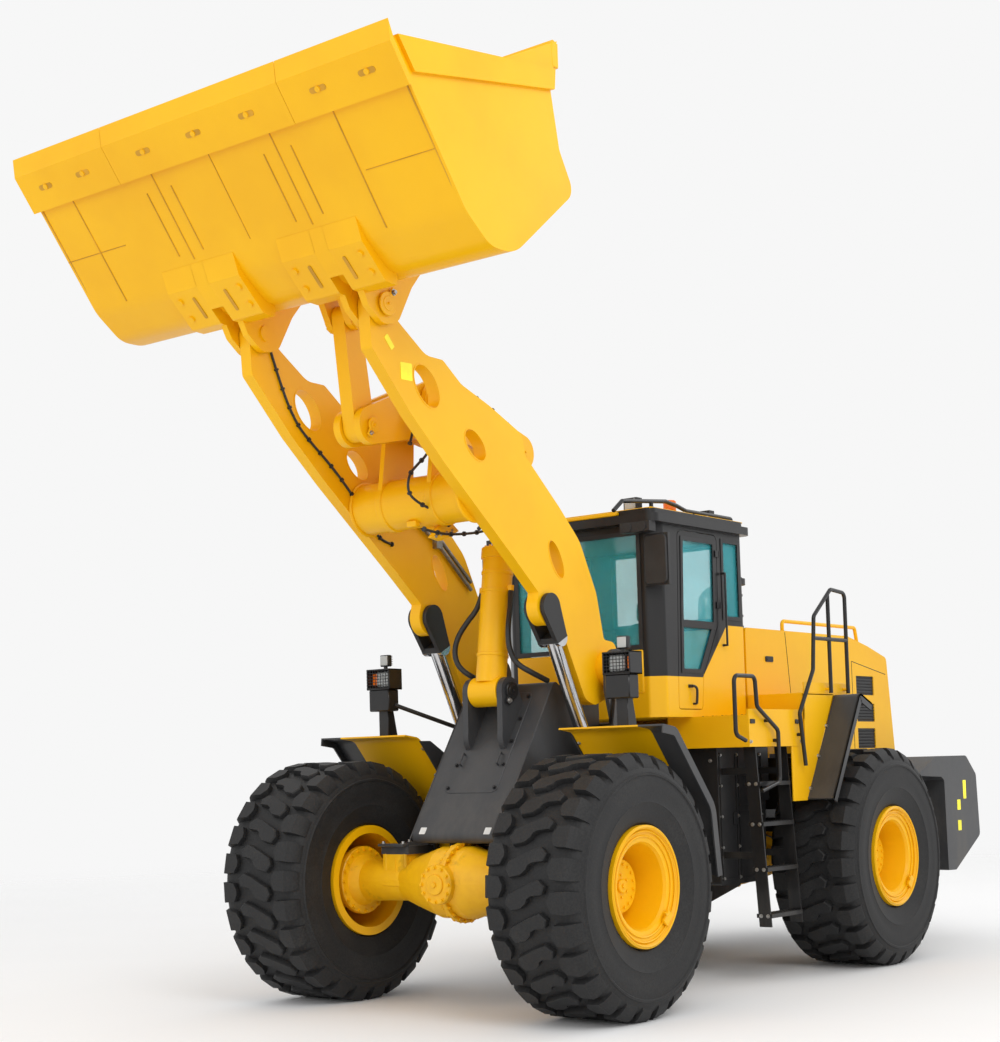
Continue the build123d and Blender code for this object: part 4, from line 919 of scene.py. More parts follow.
class LOADER_OT_rims(bpy.types.Operator):
    """Add lock rings, wheel nuts, hub bolts and a valve clip to each rim"""

    bl_idname = "loader.rims"
    bl_label = "Rim details"

    def execute(self, context):
        tyre = context.scene.loader_tyre
        for wheel, side in WHEELS.items():
            hub = pin(wheel + "_spin")
            out = Vector((0, side, 0))
            body = "wheel_" + wheel
            rings = Shape()
            for radius, offset, thick in RIM_RINGS:
                section = [
                    (radius + thick * math.cos(a), offset + thick * math.sin(a))
                    for a in (0.3, 1.57, 2.84, 4.7)
                ]
                rings.turned([(r, side * y) for r, y in section], hub, steps=72)
            dress("rim_rings_" + wheel, rings.mesh("rings"), "yellow_enamel", body, 60.0)
            disc = hub + out * 0.058
            spots = ring_spots(disc, 0.250, tyre.nuts, out)
            bolts("wheel_nuts_" + wheel, spots, body, 0.015, 0.034, 1.35, finish="yellow_enamel")
            spots = ring_spots(hub + out * 0.169, 0.168, 16, out, 0.5)
            spots += ring_spots(hub + out * 0.169, 0.085, 6, out)
            bolts("hub_bolts_" + wheel, spots, body, 0.011, 0.014, finish="yellow_enamel")
            cap = Shape()
            cap.rod(hub + out * 0.165, hub + out * 0.192, 0.055, 32, 0.006)
            cap.rod(hub + out * 0.190, hub + out * 0.204, 0.018, 6, 0.002)
            turn = math.radians(222 if side > 0 else -42)
            clip = hub + Vector((0.392 * math.cos(turn), side * 0.382, 0.392 * math.sin(turn)))
            radial = Vector((math.cos(turn), 0, math.sin(turn)))
            around = Vector((-math.sin(turn), 0, math.cos(turn)))
            cap.prism(rounded(0.070, 0.115, 0.012, 2), clip, radial, around, out * 0.028, 0.004)
            cap.rod(clip + out * 0.02 - radial * 0.02, clip + out * 0.034 - radial * 0.075, 0.009, 12, 0.002)
            dress("hub_cap_" + wheel, cap.mesh("cap"), "yellow_enamel", body)
        return {"FINISHED"}


# ---------------------------------------------------------------- bucket
LIP = Vector((5.06, 0, 6.733))
HEEL = Vector((4.34, 0, 5.79))
UNDER = (HEEL - LIP).normalized()
UNDER_OUT = Vector((UNDER.z, 0, -UNDER.x)) if UNDER.x > 0 else Vector((-UNDER.z, 0, UNDER.x))


def underside(y, distance, lift=0.0):
    """A point on the bucket's flat underside, a distance back from the lip."""
    return LIP + UNDER * distance + UNDER_OUT * lift + Vector((0, y, 0))


class LOADER_PG_bucket(bpy.types.PropertyGroup):
    bead: bpy.props.FloatProperty(
        name="Weld bead", description="Radius of a weld bead", default=0.006, unit="LENGTH"
    )
    plug: bpy.props.FloatProperty(
        name="Plug", description="Radius of a plug weld", default=0.030, unit="LENGTH"
    )


# start and end in x and z
SIDE_WELDS = (((4.98, 6.62), (4.36, 5.83)), ((4.30, 5.77), (4.08, 5.62)), ((3.34, 6.86), (4.86, 6.56)))


class LOADER_OT_bucket(bpy.types.Operator):
    """Add weld beads, plugs, slots and bolt pockets to the bucket"""

    bl_idname = "loader.bucket"
    bl_label = "Bucket details"

    def execute(self, context):
        settings = context.scene.loader_bucket
        body = "bucket_body"
        beads = Shape()
        for middle_y in (-0.63, 0.63):
            for step in (-0.135, 0.0, 0.135):
                reach = 0.98 - abs(step) * 0.4
                beads.rod(
                    underside(middle_y + step, 0.26 + abs(step), 0.001),
                    underside(middle_y + step, reach, 0.001),
                    settings.bead,
                    6,
                )
        beads.rod(underside(0.0, 0.26, 0.001), underside(0.0, 0.95, 0.001), settings.bead * 0.7, 6)
        for y in (-1.55, 1.25):
            beads.rod(underside(y, 0.24, 0.001), underside(y, 1.15, 0.001), settings.bead, 6)
        for low, high, distance in ((-1.95, -1.25, 0.72), (1.30, 1.93, 0.72)):
            beads.rod(
                underside(low, distance, 0.001), underside(high, distance, 0.001), settings.bead * 0.6, 6
            )
        for y in (1.9275, -1.9275):
            for start, end in SIDE_WELDS:
                beads.rod((start[0], y, start[1]), (end[0], y, end[1]), settings.bead * 1.2, 6)
        # the welds take a darker yellow that paints the shade of their creases
        dress("bucket_welds", beads.mesh("welds"), "weld_bead", body, 60.0)

        along = (Vector((4.385, 0, 5.765)) - Vector((4.13, 0, 5.52))).normalized()
        face_out = Vector((along.z, 0, -along.x))
        base = Vector((4.2575, 0, 5.6425))
        plugs, slots = [], Shape()
        for side in SIDES:
            for y in (0.300, 0.955):
                for step in (-0.075, 0.085):
                    place = base + along * step + Vector((0, side * y, 0))
                    plugs.append((place + face_out * 0.003, face_out))
            for y in (0.450, 0.800):
                origin = base + Vector((0, side * y, 0)) + face_out * 0.0015
                slots.prism(rounded(0.030, 0.200, 0.014, 3), origin, (0, 1, 0), along, face_out * 0.005)
        bolts("heel_plugs", plugs, body, settings.plug * 0.82, 0.012, 1.22, 24, "yellow_enamel")
        # the slots take the same darker yellow, painted shade in their recesses
        dress("heel_slots", slots.mesh("slots"), "weld_bead", body)
        bridge = Shape()
        heel = [(4.450, 5.930), (4.385, 5.765), (4.230, 5.616), (4.230, 5.850)]
        for side in SIDES:
            low, high = sorted((side * 0.566, side * 0.704))
            bridge.prism(heel, (0, low, 0), *SIDE_PLANE, (0, high - low, 0))
        dress("heel_bridges", bridge.mesh("bridge"), "yellow_enamel", body)

        edge_a = Vector((4.940, 0, 6.498))
        edge_b = Vector((5.128, 0, 6.744))
        run = (edge_b - edge_a).normalized()
        out = Vector((run.z, 0, -run.x))
        centre = edge_a.lerp(edge_b, 0.56)
        pockets, heads = Shape(), []
        for y in (-1.70, -1.25, -0.55, 0.0, 0.55, 1.25, 1.70):
            place = centre + Vector((0, y, 0))
            pockets.prism(rounded(0.150, 0.042, 0.020, 4), place + out * 0.0005, (0, 1, 0), run, out * 0.003)
            heads.append((place + out * 0.003, out))
        # the pockets take the same darker yellow, painted shade in their recesses
        dress("edge_pockets", pockets.mesh("pockets"), "weld_bead", body)
        bolts("edge_bolts", heads, body, 0.021, 0.008, 1.1, 20, "yellow_enamel")

        rim = Shape()
        rim.rod((3.225, 1.90, 7.30), (3.225, -1.90, 7.30), 0.017, 10)
        for side in SIDES:
            rim.block((3.19, side * 1.94 - 0.018, 7.12), (3.27, side * 1.94 + 0.018, 7.31), 0.006)
        dress("spill_guard_rim", rim.mesh("rim"), "yellow_enamel", body)
        return {"FINISHED"}


# ---------------------------------------------------------------- linkage
LIFT_EYE = Vector((1.795, 0, 3.29))
PINS = {  # place, outer face, cap radius, body
    "boom_foot": (pin("boom_lift"), 0.818, 0.090, "front_body"),
    "lift_base": (pin("lift_barrel_pivot"), 0.816, 0.080, "front_body"),
    "bucket_pivot": (pin("bucket_tilt"), 0.769, 0.092, "bucket_body"),
    "bellcrank_pivot": (pin("bellcrank_pivot"), 0.299, 0.082, "boom_body"),
    "link_pivot": (pin("link_pivot"), 0.153, 0.062, "bellcrank_body"),
    "ear_pivot": (Vector((3.439, 0, 5.564)), 0.131, 0.062, "bucket_body"),
    "tilt_base": (pin("tilt_barrel_pivot"), 0.226, 0.078, "front_body"),
    "tilt_eye": (Vector((1.42, 0, 4.7)), 0.212, 0.066, "bellcrank_body"),
}


class LOADER_PG_linkage(bpy.types.PropertyGroup):
    cap: bpy.props.FloatProperty(
        name="Pin cap", description="Thickness of a pin's cap", default=0.016, unit="LENGTH"
    )
    keeper: bpy.props.FloatProperty(
        name="Keeper bolt", description="Radius of a keeper bolt's head", default=0.017, unit="LENGTH"
    )


class LOADER_OT_pins(bpy.types.Operator):
    """Cap every pin, with its grease nipple and keeper bolts"""

    bl_idname = "loader.pins"
    bl_label = "Pin caps"

    def execute(self, context):
        settings = context.scene.loader_linkage
        for name, (place, face, radius, body) in PINS.items():
            caps, keepers = Shape(), []
            for side in SIDES:
                out = Vector((0, side, 0))
                seat = place + out * face
                caps.rod(seat, seat + out * settings.cap, radius, 40, 0.004)
                caps.rod(seat, seat + out * (settings.cap + 0.004), radius * 0.62, 32, 0.003)
                caps.rod(seat, seat + out * (settings.cap + 0.018), 0.010, 10, 0.003)
                flag = Vector((-0.55, 0, 0.84)) if name == "bucket_pivot" else Vector((0.5, 0, -0.86))
                tail = radius + 0.050
                spine = [(-0.030, 0), (0.030, 0), (0.030, tail), (-0.030, tail)]
                across = flag.cross(out)
                caps.prism(spine, seat, across, flag, out * settings.cap * 0.8, 0.003)
                keepers.append((seat + flag * (radius + 0.022) + out * settings.cap * 0.8, out))
            finish = "black_enamel" if body == "front_body" else "yellow_enamel"
            dress("pin_caps_" + name, caps.mesh("caps"), finish, body)
            bolts("pin_keepers_" + name, keepers, body, settings.keeper * min(1, radius / 0.08))
        return {"FINISHED"}


TILT_HOSES = [  # side, name, route below the barrel's port
    (
        -1, "right",
        [
            (1.612, -0.185, 3.360), (1.650, -0.290, 3.240), (1.672, -0.385, 3.110), (1.675, -0.422, 2.970),
            (1.650, -0.390, 2.845), (1.588, -0.270, 2.750), (1.440, -0.262, 2.700)
        ]
    ),
    (
        1, "left",
        [
            (1.630, 0.180, 3.365), (1.700, 0.212, 3.250), (1.745, 0.228, 3.110), (1.748, 0.240, 2.970),
            (1.705, 0.275, 2.845), (1.600, 0.396, 2.752), (1.440, 0.408, 2.700)
        ]
    ),
]


class LOADER_OT_cylinders(bpy.types.Operator):
    """Add glands, ports and steel pipes to the lift and tilt cylinders"""

    bl_idname = "loader.cylinders"
    bl_label = "Cylinder details"

    def execute(self, context):
        base, eye = pin("lift_barrel_pivot"), LIFT_EYE
        run = (eye - base).normalized()
        over = Vector((-run.z, 0, run.x))
        glands, ports, bolt_spots = Shape(), Shape(), []
        for side in SIDES:
            foot = Vector((base.x, side * ARM_Y, base.z))
            mouth = foot + run * 1.290
            glands.sleeve(mouth - run * 0.055, mouth + run * 0.001, 0.122, 0.068)
            glands.sleeve(mouth, mouth + run * 0.006, 0.086, 0.068, rim=0.002)
            bolt_spots += ring_spots(mouth, 0.104, 12, run)
            for distance in (0.22, 1.13):
                spot = foot + run * distance + over * 0.10
                ports.rod(spot, spot + over * 0.055, 0.030, 6, 0.003)
            line_y = Vector((0, -side * 0.05, 0))
            ports.rod(
                foot + run * 0.22 + over * 0.145 + line_y, foot + run * 1.13 + over * 0.145 + line_y, 0.013,
                12
            )
            for distance in (0.45, 0.85):
                spot = foot + run * distance
                ports.sleeve(spot - run * 0.015, spot + run * 0.015, 0.121, 0.110)
        dress("lift_glands", glands.mesh("glands"), "black_enamel", "lift_barrel_body")
        dress("lift_ports", ports.mesh("ports"), "yellow_enamel", "lift_barrel_body")
        bolts("lift_gland_bolts", bolt_spots, "lift_barrel_body", 0.010, 0.004)

        base, eye = pin("tilt_barrel_pivot"), Vector((1.42, 0, 4.7))
        run = (eye - base).normalized()
        over = Vector((run.z, 0, -run.x))
        glands, fittings = Shape(), Shape()
        mouth = base + run * 1.250
        glands.sleeve(mouth - run * 0.090, mouth + run * 0.004, 0.150, 0.071)
        glands.sleeve(mouth + run * 0.002, mouth + run * 0.020, 0.092, 0.071)
        for distance in (0.30, 0.86, 1.02):
            glands.sleeve(base + run * distance, base + run * (distance + 0.030), 0.139, 0.125)
        dress("tilt_glands", glands.mesh("glands"), "yellow_enamel", "tilt_barrel_body")
        spots = ring_spots(mouth + run * 0.003, 0.122, 12, run)
        bolts("tilt_gland_bolts", spots, "tilt_barrel_body", 0.012, finish="yellow_enamel")
        for side, name, route in TILT_HOSES:
            head = base + run * 0.872 + Vector((0, side * 0.158, 0))
            hose = pipe("tilt_hose_" + name, [tuple(head), *route], 0.024, None, "hose_cover", sides=16)
            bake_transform(hose)
        for side in SIDES:
            pipe_foot = base + run * 0.872 + Vector((0, side * 0.158, 0))
            fittings.rod(pipe_foot, pipe_foot + run * 0.05, 0.027, 6, 0.003)
            boss = pipe_foot + run * 0.030
            fittings.rod(boss - Vector((0, side * 0.050, 0)), boss, 0.024, 16, 0.003)
        dress("tilt_fittings", fittings.mesh("fittings"), "yellow_enamel", "tilt_barrel_body")
        return {"FINISHED"}


HARNESSES = {  # name: (y, route in the boom's plane)
    "right_arm_lead": (
        -0.572,
        [
            (3.717, 5.354), (3.591, 5.045), (3.443, 4.809), (3.324, 4.701), (2.991, 4.468), (2.705, 4.208),
            (2.541, 4.045), (2.450, 3.925), (2.296, 3.903)
        ],
    ),
    "bellcrank_lead": (0.205, [(2.854, 4.981), (2.858, 4.858), (2.895, 4.694), (2.936, 4.591)]),
    "front_loop": (
        0.255,
        [
            (2.733, 4.584), (2.793, 4.503), (2.908, 4.417), (3.023, 4.319), (3.040, 4.172), (2.902, 4.101),
            (2.660, 4.051), (2.529, 3.964)
        ],
    ),
    "tube_lead": (
        0.300, [(1.889, 3.995), (2.156, 3.929), (2.455, 3.884), (2.705, 3.868), (2.900, 3.890)]
    ),
}


# x, z, half length, half width, lean in degrees
BOOM_HOLES = (
    (3.290, 4.925, 0.185, 0.118, 49), (2.705, 4.540, 0.150, 0.088, 40), (1.650, 3.700, 0.170, 0.070, 62)
)


class LOADER_OT_boom(bpy.types.Operator):
    """Add leads, pads, seams and blank stickers to the boom"""

    bl_idname = "loader.boom"
    bl_label = "Boom details"

    def execute(self, context):
        body = "boom_body"
        for name, (y, route) in HARNESSES.items():
            points = [(x, y, z) for x, z in route]
            pipe("boom_" + name, points, 0.011, body, "hose_cover", clips=0.16, clip=1.9, grip=0.016)
        top_edge = [(2.84, 4.985), (2.62, 4.915), (2.42, 4.850), (2.24, 4.760)]
        points = [(x, ARM_Y + 0.03, z + 0.012) for x, z in top_edge]
        pipe("boom_top_lead", points, 0.009, body, "hose_cover", clips=0.2, clip=1.9, grip=0.014)
        manifold = Shape()
        manifold.prism(
            [(0, 0), (0.23, -0.10), (0.36, -0.08), (0.15, 0.10)], (2.35, 0.17, 3.93), *SIDE_PLANE,
            (0, 0.05, 0), 0.006
        )
        dress("boom_manifold", manifold.mesh("manifold"), "yellow_casting", body)
        spots = row_spots((2.45, 0.222, 3.925), (2.66, 0.222, 3.86), 4, (0, 1, 0))
        bolts("boom_manifold_bolts", spots, body, 0.009)

        collars = Shape()
        tube_centre = Vector((2.595, 0, 4.17))
        for side in SIDES:
            collars.rod(
                tube_centre + Vector((0, side * 0.555, 0)), tube_centre + Vector((0, side * 0.581, 0)), 0.232,
                56, 0.01
            )
            collars.rod(
                tube_centre + Vector((0, side * 0.236, 0)), tube_centre + Vector((0, side * 0.300, 0)), 0.222,
                56, 0.008
            )
        for x in (-0.12, 0.12):
            foot = tube_centre + Vector((x, 0.03, -0.19))
            collars.block(foot - Vector((0.03, 0.05, 0.03)), foot + Vector((0.03, 0.05, 0.02)), 0.006)
        dress("boom_tube_collars", collars.mesh("collars"), "yellow_enamel", body)

        stickers = Shape()
        face = 0.691
        for x, z, width, height, lean in ((3.72, 5.202, 0.050, 0.120, 42), (3.53, 5.005, 0.135, 0.135, 2)):
            turn = math.radians(lean)
            across = Vector((math.cos(turn), 0, -math.sin(turn)))
            up = Vector((math.sin(turn), 0, math.cos(turn)))
            for side in SIDES:
                stickers.prism(
                    rounded(width, height, 0.006, 1), (x, side * face, z), across, up, (0, side * 0.0015, 0)
                )
        dress("boom_blank_stickers", stickers.mesh("stickers"), "blank_sticker", body)

        seams = Shape()
        for side in SIDES:
            for x, z, half_length, half_width, lean in BOOM_HOLES:
                turn = math.radians(lean)
                for face in (0.580, 0.690):
                    ring = []
                    for step in range(48):
                        around = math.tau * step / 48
                        spokes = []
                        for grow, lift in ((0.0, -0.006), (0.010, -0.006), (0.010, 0.004), (0.0, 0.004)):
                            a = (half_length + grow) * math.cos(around)
                            b = (half_width + grow) * math.sin(around)
                            across = a * math.cos(turn) - b * math.sin(turn)
                            up = a * math.sin(turn) + b * math.cos(turn)
                            out = lift if face > 0.6 else -lift
                            spokes.append(Vector((x + across, side * (face + out), z + up)))
                        ring.append(spokes)
                    seams.skin(ring, closed=True)
        dress("boom_hole_rims", seams.mesh("rims"), "yellow_enamel", body, 50.0)
        return {"FINISHED"}


# ---------------------------------------------------------------- front frame and axles
FRAME_TOP = Vector((1.410, 0, 2.700))  # upper edge of the front frame's sloped plate
FRAME_FOOT = Vector((2.320, 0, 1.352))
FRAME_SLOPE = (FRAME_FOOT - FRAME_TOP).normalized()
SLOPE_OUT = Vector((-FRAME_SLOPE.z, 0, FRAME_SLOPE.x))


def on_slope(along, y, lift=0.0):
    """A point on the front frame's sloped plate, measured down from its top edge."""
    return Vector((FRAME_TOP.x, y, FRAME_TOP.z)) + FRAME_SLOPE * along + SLOPE_OUT * lift


class LOADER_PG_frame(bpy.types.PropertyGroup):
    bolt: bpy.props.FloatProperty(
        name="Bolt head", description="Radius of a cover bolt", default=0.013, unit="LENGTH"
    )
    weld: bpy.props.FloatProperty(
        name="Weld bead", description="Radius of a weld bead", default=0.006, unit="LENGTH"
    )


class LOADER_OT_front_frame(bpy.types.Operator):
    """Add the cover, handles, welds and blank stickers to the front frame"""

    bl_idname = "loader.front_frame"
    bl_label = "Front frame details"

    def execute(self, context):
        settings = context.scene.loader_frame
        body = "front_body"
        cover = Shape()
        place = on_slope(0.62, 0, -0.002)
        cover.prism(rounded(0.56, 1.02, 0.06, 4), place, (0, 1, 0), FRAME_SLOPE, SLOPE_OUT * 0.007, 0.003)
        for y in (-0.20, 0.20):
            foot = on_slope(0.80, y, 0.0)
            for end in (-0.055, 0.055):
                cover.rod(foot + FRAME_SLOPE * end, foot + FRAME_SLOPE * end + SLOPE_OUT * 0.035, 0.008, 10)
            cover.rod(
                foot - FRAME_SLOPE * 0.062 + SLOPE_OUT * 0.035,
                foot + FRAME_SLOPE * 0.062 + SLOPE_OUT * 0.035, 0.008, 12, 0.003
            )
        dress("frame_cover", cover.mesh("cover"), "charcoal_enamel", body)
        spots = []
        for y in (-0.25, 0.25):
            spots += row_spots(on_slope(0.16, y, 0.005), on_slope(1.08, y, 0.005), 5, SLOPE_OUT)
        bolts("frame_cover_bolts", spots, body, settings.bolt, finish="black_enamel")

        welds = Shape()
        for side in SIDES:
            y = side * 0.452
            welds.rod(on_slope(0.05, y, 0.0), on_slope(1.58, y, 0.0), settings.weld, 6)
            welds.rod((1.29, y, 2.642), (0.56, y, 2.18), settings.weld, 6)
            for face in (0.4965, 0.7755):
                welds.rod((0.60, side * face, 1.72), (0.80, side * face, 2.28), settings.weld, 6)
        dress("frame_welds", welds.mesh("welds"), "charcoal_enamel", body, 60.0)

        stickers = Shape()
        for y, along in ((-0.345, 1.50), (0.345, 1.50)):
            stickers.prism(
                rounded(0.065, 0.065, 0.004, 1), on_slope(along, y, 0.0008), (0, 1, 0), FRAME_SLOPE,
                SLOPE_OUT * 0.001
            )
        dress("frame_blank_stickers", stickers.mesh("stickers"), "pale_sticker", body)

        lugs = Shape()
        for side in SIDES:
            for x in (1.99, 2.33):
                lugs.block(
                    (x - 0.045, side * 0.61 - 0.14, 1.328), (x + 0.045, side * 0.61 + 0.14, 1.352), 0.005
                )
            lugs.rod((0.975, side * 0.8145, 2.80), (0.975, side * 0.828, 2.80), 0.150, 40, 0.005)
            lugs.prism(
                [(0.46, 0.76), (0.70, 0.76), (0.70, 1.04), (0.46, 1.04)], (0, side * 0.814, 0), *SIDE_PLANE,
                (0, side * 0.012, 0), 0.004
            )
        dress("frame_bosses", lugs.mesh("lugs"), "charcoal_enamel", body)
        spots = []
        for x in (1.99, 2.33):
            for y in (0.50, 0.72):
                spots.append((Vector((x, y, 1.352)), Vector((0, 0, 1))))
        spots += ring_spots((0.975, 0.828, 2.80), 0.122, 8, (0, 1, 0))
        spots += row_spots((0.49, 0.826, 0.80), (0.49, 0.826, 1.00), 3, (0, 1, 0))
        spots += row_spots((0.67, 0.826, 0.80), (0.67, 0.826, 1.00), 3, (0, 1, 0))
        bolts("frame_boss_bolts", both_hands(spots), body, settings.bolt * 1.1)
        return {"FINISHED"}


class LOADER_OT_axles(bpy.types.Operator):
    """Add the bolted flanges, cover, studs and brake lines to both axles"""

    bl_idname = "loader.axles"
    bl_label = "Axle details"

    def execute(self, context):
        settings = context.scene.loader_frame
        for end, body, x, nose in (("front", "front_body", 2.175, 1), ("rear", "rear_body", -2.175, -1)):
            centre = Vector((x, 0, 1.03))
            cast, spots = Shape(), []
            cast.rod(centre + Vector((0, 0.012, 0)), centre + Vector((0, 0.060, 0)), 0.334, 64, 0.006)
            spots += ring_spots(centre + Vector((0, 0.060, 0)), 0.319, 24, (0, 1, 0), 0.5)
            spots += ring_spots(centre + Vector((0, 0.012, 0)), 0.319, 24, (0, -1, 0), 0.5)
            face = centre + Vector((nose * 0.300, 0, 0))
            ahead = Vector((nose, 0, 0))
            cast.rod(face - ahead * 0.05, face + ahead * 0.050, 0.165, 48, 0.010)
            cast.rod(face + ahead * 0.048, face + ahead * 0.066, 0.085, 32, 0.006)
            cast.rod(face + ahead * 0.064, face + ahead * 0.082, 0.024, 6, 0.003)
            spots += ring_spots(face + ahead * 0.050, 0.142, 12, ahead)
            for side in SIDES:
                out = Vector((0, side, 0))
                ring = centre + out * 1.13
                cast.rod(ring - out * 0.05, ring + out * 0.01, 0.292, 56, 0.008)
                spots += ring_spots(ring - out * 0.05, 0.268, 20, -out)
                arm = centre + out * 0.60
                low = arm + Vector((0, 0, -0.01))
                cast.block(low - Vector((0.17, 0.13, 0.03)), low + Vector((0.17, 0.13, 0.03)), 0.01)
                for step in (-0.125, 0.125):
                    cast.prism(
                        [(-0.02, 0.02), (0.02, 0.02), (0.02, 0.19), (-0.02, 0.19)],
                        arm + Vector((step, 0, 0)), *SIDE_PLANE, (0, 0.001, 0)
                    )
            dress(end + "_axle_flanges", cast.mesh("flanges"), "yellow_casting", body)
            bolts(end + "_axle_bolts", spots, body, settings.bolt, finish="yellow_enamel")
            studs, nuts = Shape(), []
            for side in SIDES:
                for step in (-0.125, 0.125):
                    for y in (0.505, 0.715):
                        foot = centre + Vector((step, side * y, -0.075))
                        studs.rod(foot, foot + Vector((0, 0, 0.31)), 0.018, 14)
                        nuts.append((foot + Vector((0, 0, 0.035)), Vector((0, 0, -1))))
            dress(end + "_axle_studs", studs.mesh("studs"), "yellow_casting", body)
            bolts(end + "_axle_nuts", nuts, body, 0.028, 0.035, 1.3, finish="yellow_enamel")
            route = [
                (x - nose * 0.16, y, z)
                for y, z in (
                    (-0.90, 1.13), (-0.55, 1.20), (-0.32, 1.33), (0.32, 1.33), (0.55, 1.20), (0.90, 1.13)
                )
            ]
            pipe(end + "_brake_line", route, 0.008, body, "worn_steel")
        return {"FINISHED"}


# ---------------------------------------------------------------- fenders and lamps
def along_path(path, y_low, y_high, thickness, shape):
    """A plate folded along a path in x and z, between two planes in y."""
    points = [Vector((x, 0, z)) for x, z in path]
    rings = []
    for index, point in enumerate(points):
        last = len(points) - 1
        before = points[max(index, 1)] - points[max(index - 1, 0)]
        after = points[min(index + 1, last)] - points[min(index, last - 1)]
        runs = (before.normalized(), after.normalized())
        run = (runs[0] + runs[1]).normalized()
        out = Vector((-run.z, 0, run.x))
        under = point - out * (thickness / max(0.5, run.dot(runs[0])))
        corners = ((point, y_low), (point, y_high), (under, y_high), (under, y_low))
        rings.append([spot + Vector((0, y, 0)) for spot, y in corners])
    return shape.skin(rings)


def arc_path(corners):
    """The corners (x, z, radius) of a path, with its bends as short runs."""
    path = []
    for index, (x, z, radius) in enumerate(corners):
        here = Vector((x, z))
        if not radius or index in (0, len(corners) - 1):
            path.append((x, z))
            continue
        before = (Vector(corners[index - 1][:2]) - here).normalized()
        after = (Vector(corners[index + 1][:2]) - here).normalized()
        half = before.angle(after) / 2
        reach = radius / math.tan(half)
        start, end = here + before * reach, here + after * reach
        for step in range(7):
            t = step / 6
            spot = start * (1 - t) ** 2 + here * (2 * t * (1 - t)) + end * t**2
            path.append((spot.x, spot.y))
    return path


class LOADER_PG_fender(bpy.types.PropertyGroup):
    sheet: bpy.props.FloatProperty(
        name="Sheet", description="Thickness of a fender's sheet", default=0.02, unit="LENGTH"
    )
    band_out: bpy.props.FloatProperty(
        name="Band's outer edge", description="How far out a rear fender reaches",
        default=1.715, unit="LENGTH",
    )


class LOADER_OT_fenders(bpy.types.Operator):
    """Build the rear bands and their platforms, and bolt the front fenders"""

    bl_idname = "loader.fenders"
    bl_label = "Fenders"

    def execute(self, context):
        settings = context.scene.loader_fender
        band, deck = Shape(), Shape()
        path = arc_path([(-2.010, 2.490, 0), (-1.760, 2.590, 0.06), (-1.150, 1.610, 0)])
        platform = [
            (-0.885, 2.094), (-0.885, 1.592), (-1.150, 1.592), (-1.740, 2.585), (-1.146, 2.585),
            (-1.146, 2.094)
        ]
        for side in SIDES:
            inner, outer = sorted((side * 1.450, side * settings.band_out))
            along_path(path, inner, outer, settings.sheet, band)
            rim = sorted((side * (settings.band_out - 0.016), side * settings.band_out))
            along_path(path, rim[0], rim[1], 0.075, band)
            low, high = sorted((side * 0.855, side * 1.450))
            deck.block((-2.030, low, 2.570), (-1.158, high, 2.590), 0.003)
            deck.block((-1.160, low, 2.340), (-1.146, high, 2.590), 0.003)
            edge_low, edge_high = sorted((side * 1.436, side * 1.450))
            deck.block((-2.030, edge_low, 2.589), (-1.158, edge_high, 2.690), 0.003)
            deck.prism(platform, (0, edge_low, 0), *SIDE_PLANE, (0, edge_high - edge_low, 0), 0.003)
            gusset = [
                (side * 0.855, 2.04), (side * 1.436, 2.46), (side * 1.436, 2.571), (side * 0.855, 2.571)
            ]
            deck.prism(gusset, (-2.030, 0, 0), *FRONT_PLANE, (0.014, 0, 0))
            for x in (-1.60, -1.95):
                deck.rod((x, side * 1.448, 2.63), (x, side * 1.50, 2.63), 0.015, 12)
            for x in (-1.35, -2.00):
                deck.block((x - 0.01, side * 0.78, 1.995), (x + 0.01, side * 0.95, 2.575), 0.002)
        bands = dress("rear_fender_bands", band.mesh("bands"), "charcoal_enamel", "rear_body")
        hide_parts("rear_fenders")
        dress("rear_platforms", deck.mesh("platforms"), "yellow_enamel", "rear_body")
        studs = []
        for side in SIDES:
            for y in STUD_ROWS:
                studs += row_spots((-1.98, side * y, 2.589), (-1.22, side * y, 2.589), 12, (0, 0, 1))
        bolts("platform_studs", studs, "rear_body", 0.012, 0.006, 1.05, 8, "yellow_enamel")
        spots = []
        for x, z in ((-1.20, 1.70), (-1.38, 2.00), (-1.56, 2.28)):
            spots.append((Vector((x, 1.450, z)), Vector((0, 1, 0))))
        bolts("band_bolts", both_hands(spots), "rear_body", 0.014)
        spots = []
        for x, z in ((1.15, 1.50), (1.28, 1.66), (1.45, 1.92), (1.62, 2.16)):
            spots.append((Vector((x, 0.846, z)), Vector((0, 1, 0))))
        bolts("fender_gusset_bolts", both_hands(spots), "front_body", 0.014)
        return {"FINISHED"}


class LOADER_PG_lamps(bpy.types.PropertyGroup):
    wire: bpy.props.FloatProperty(
        name="Guard wire", description="Radius of a guard's wire", default=0.0032, unit="LENGTH"
    )
    across: bpy.props.IntProperty(name="Wires", description="Upright wires of a guard", default=9)


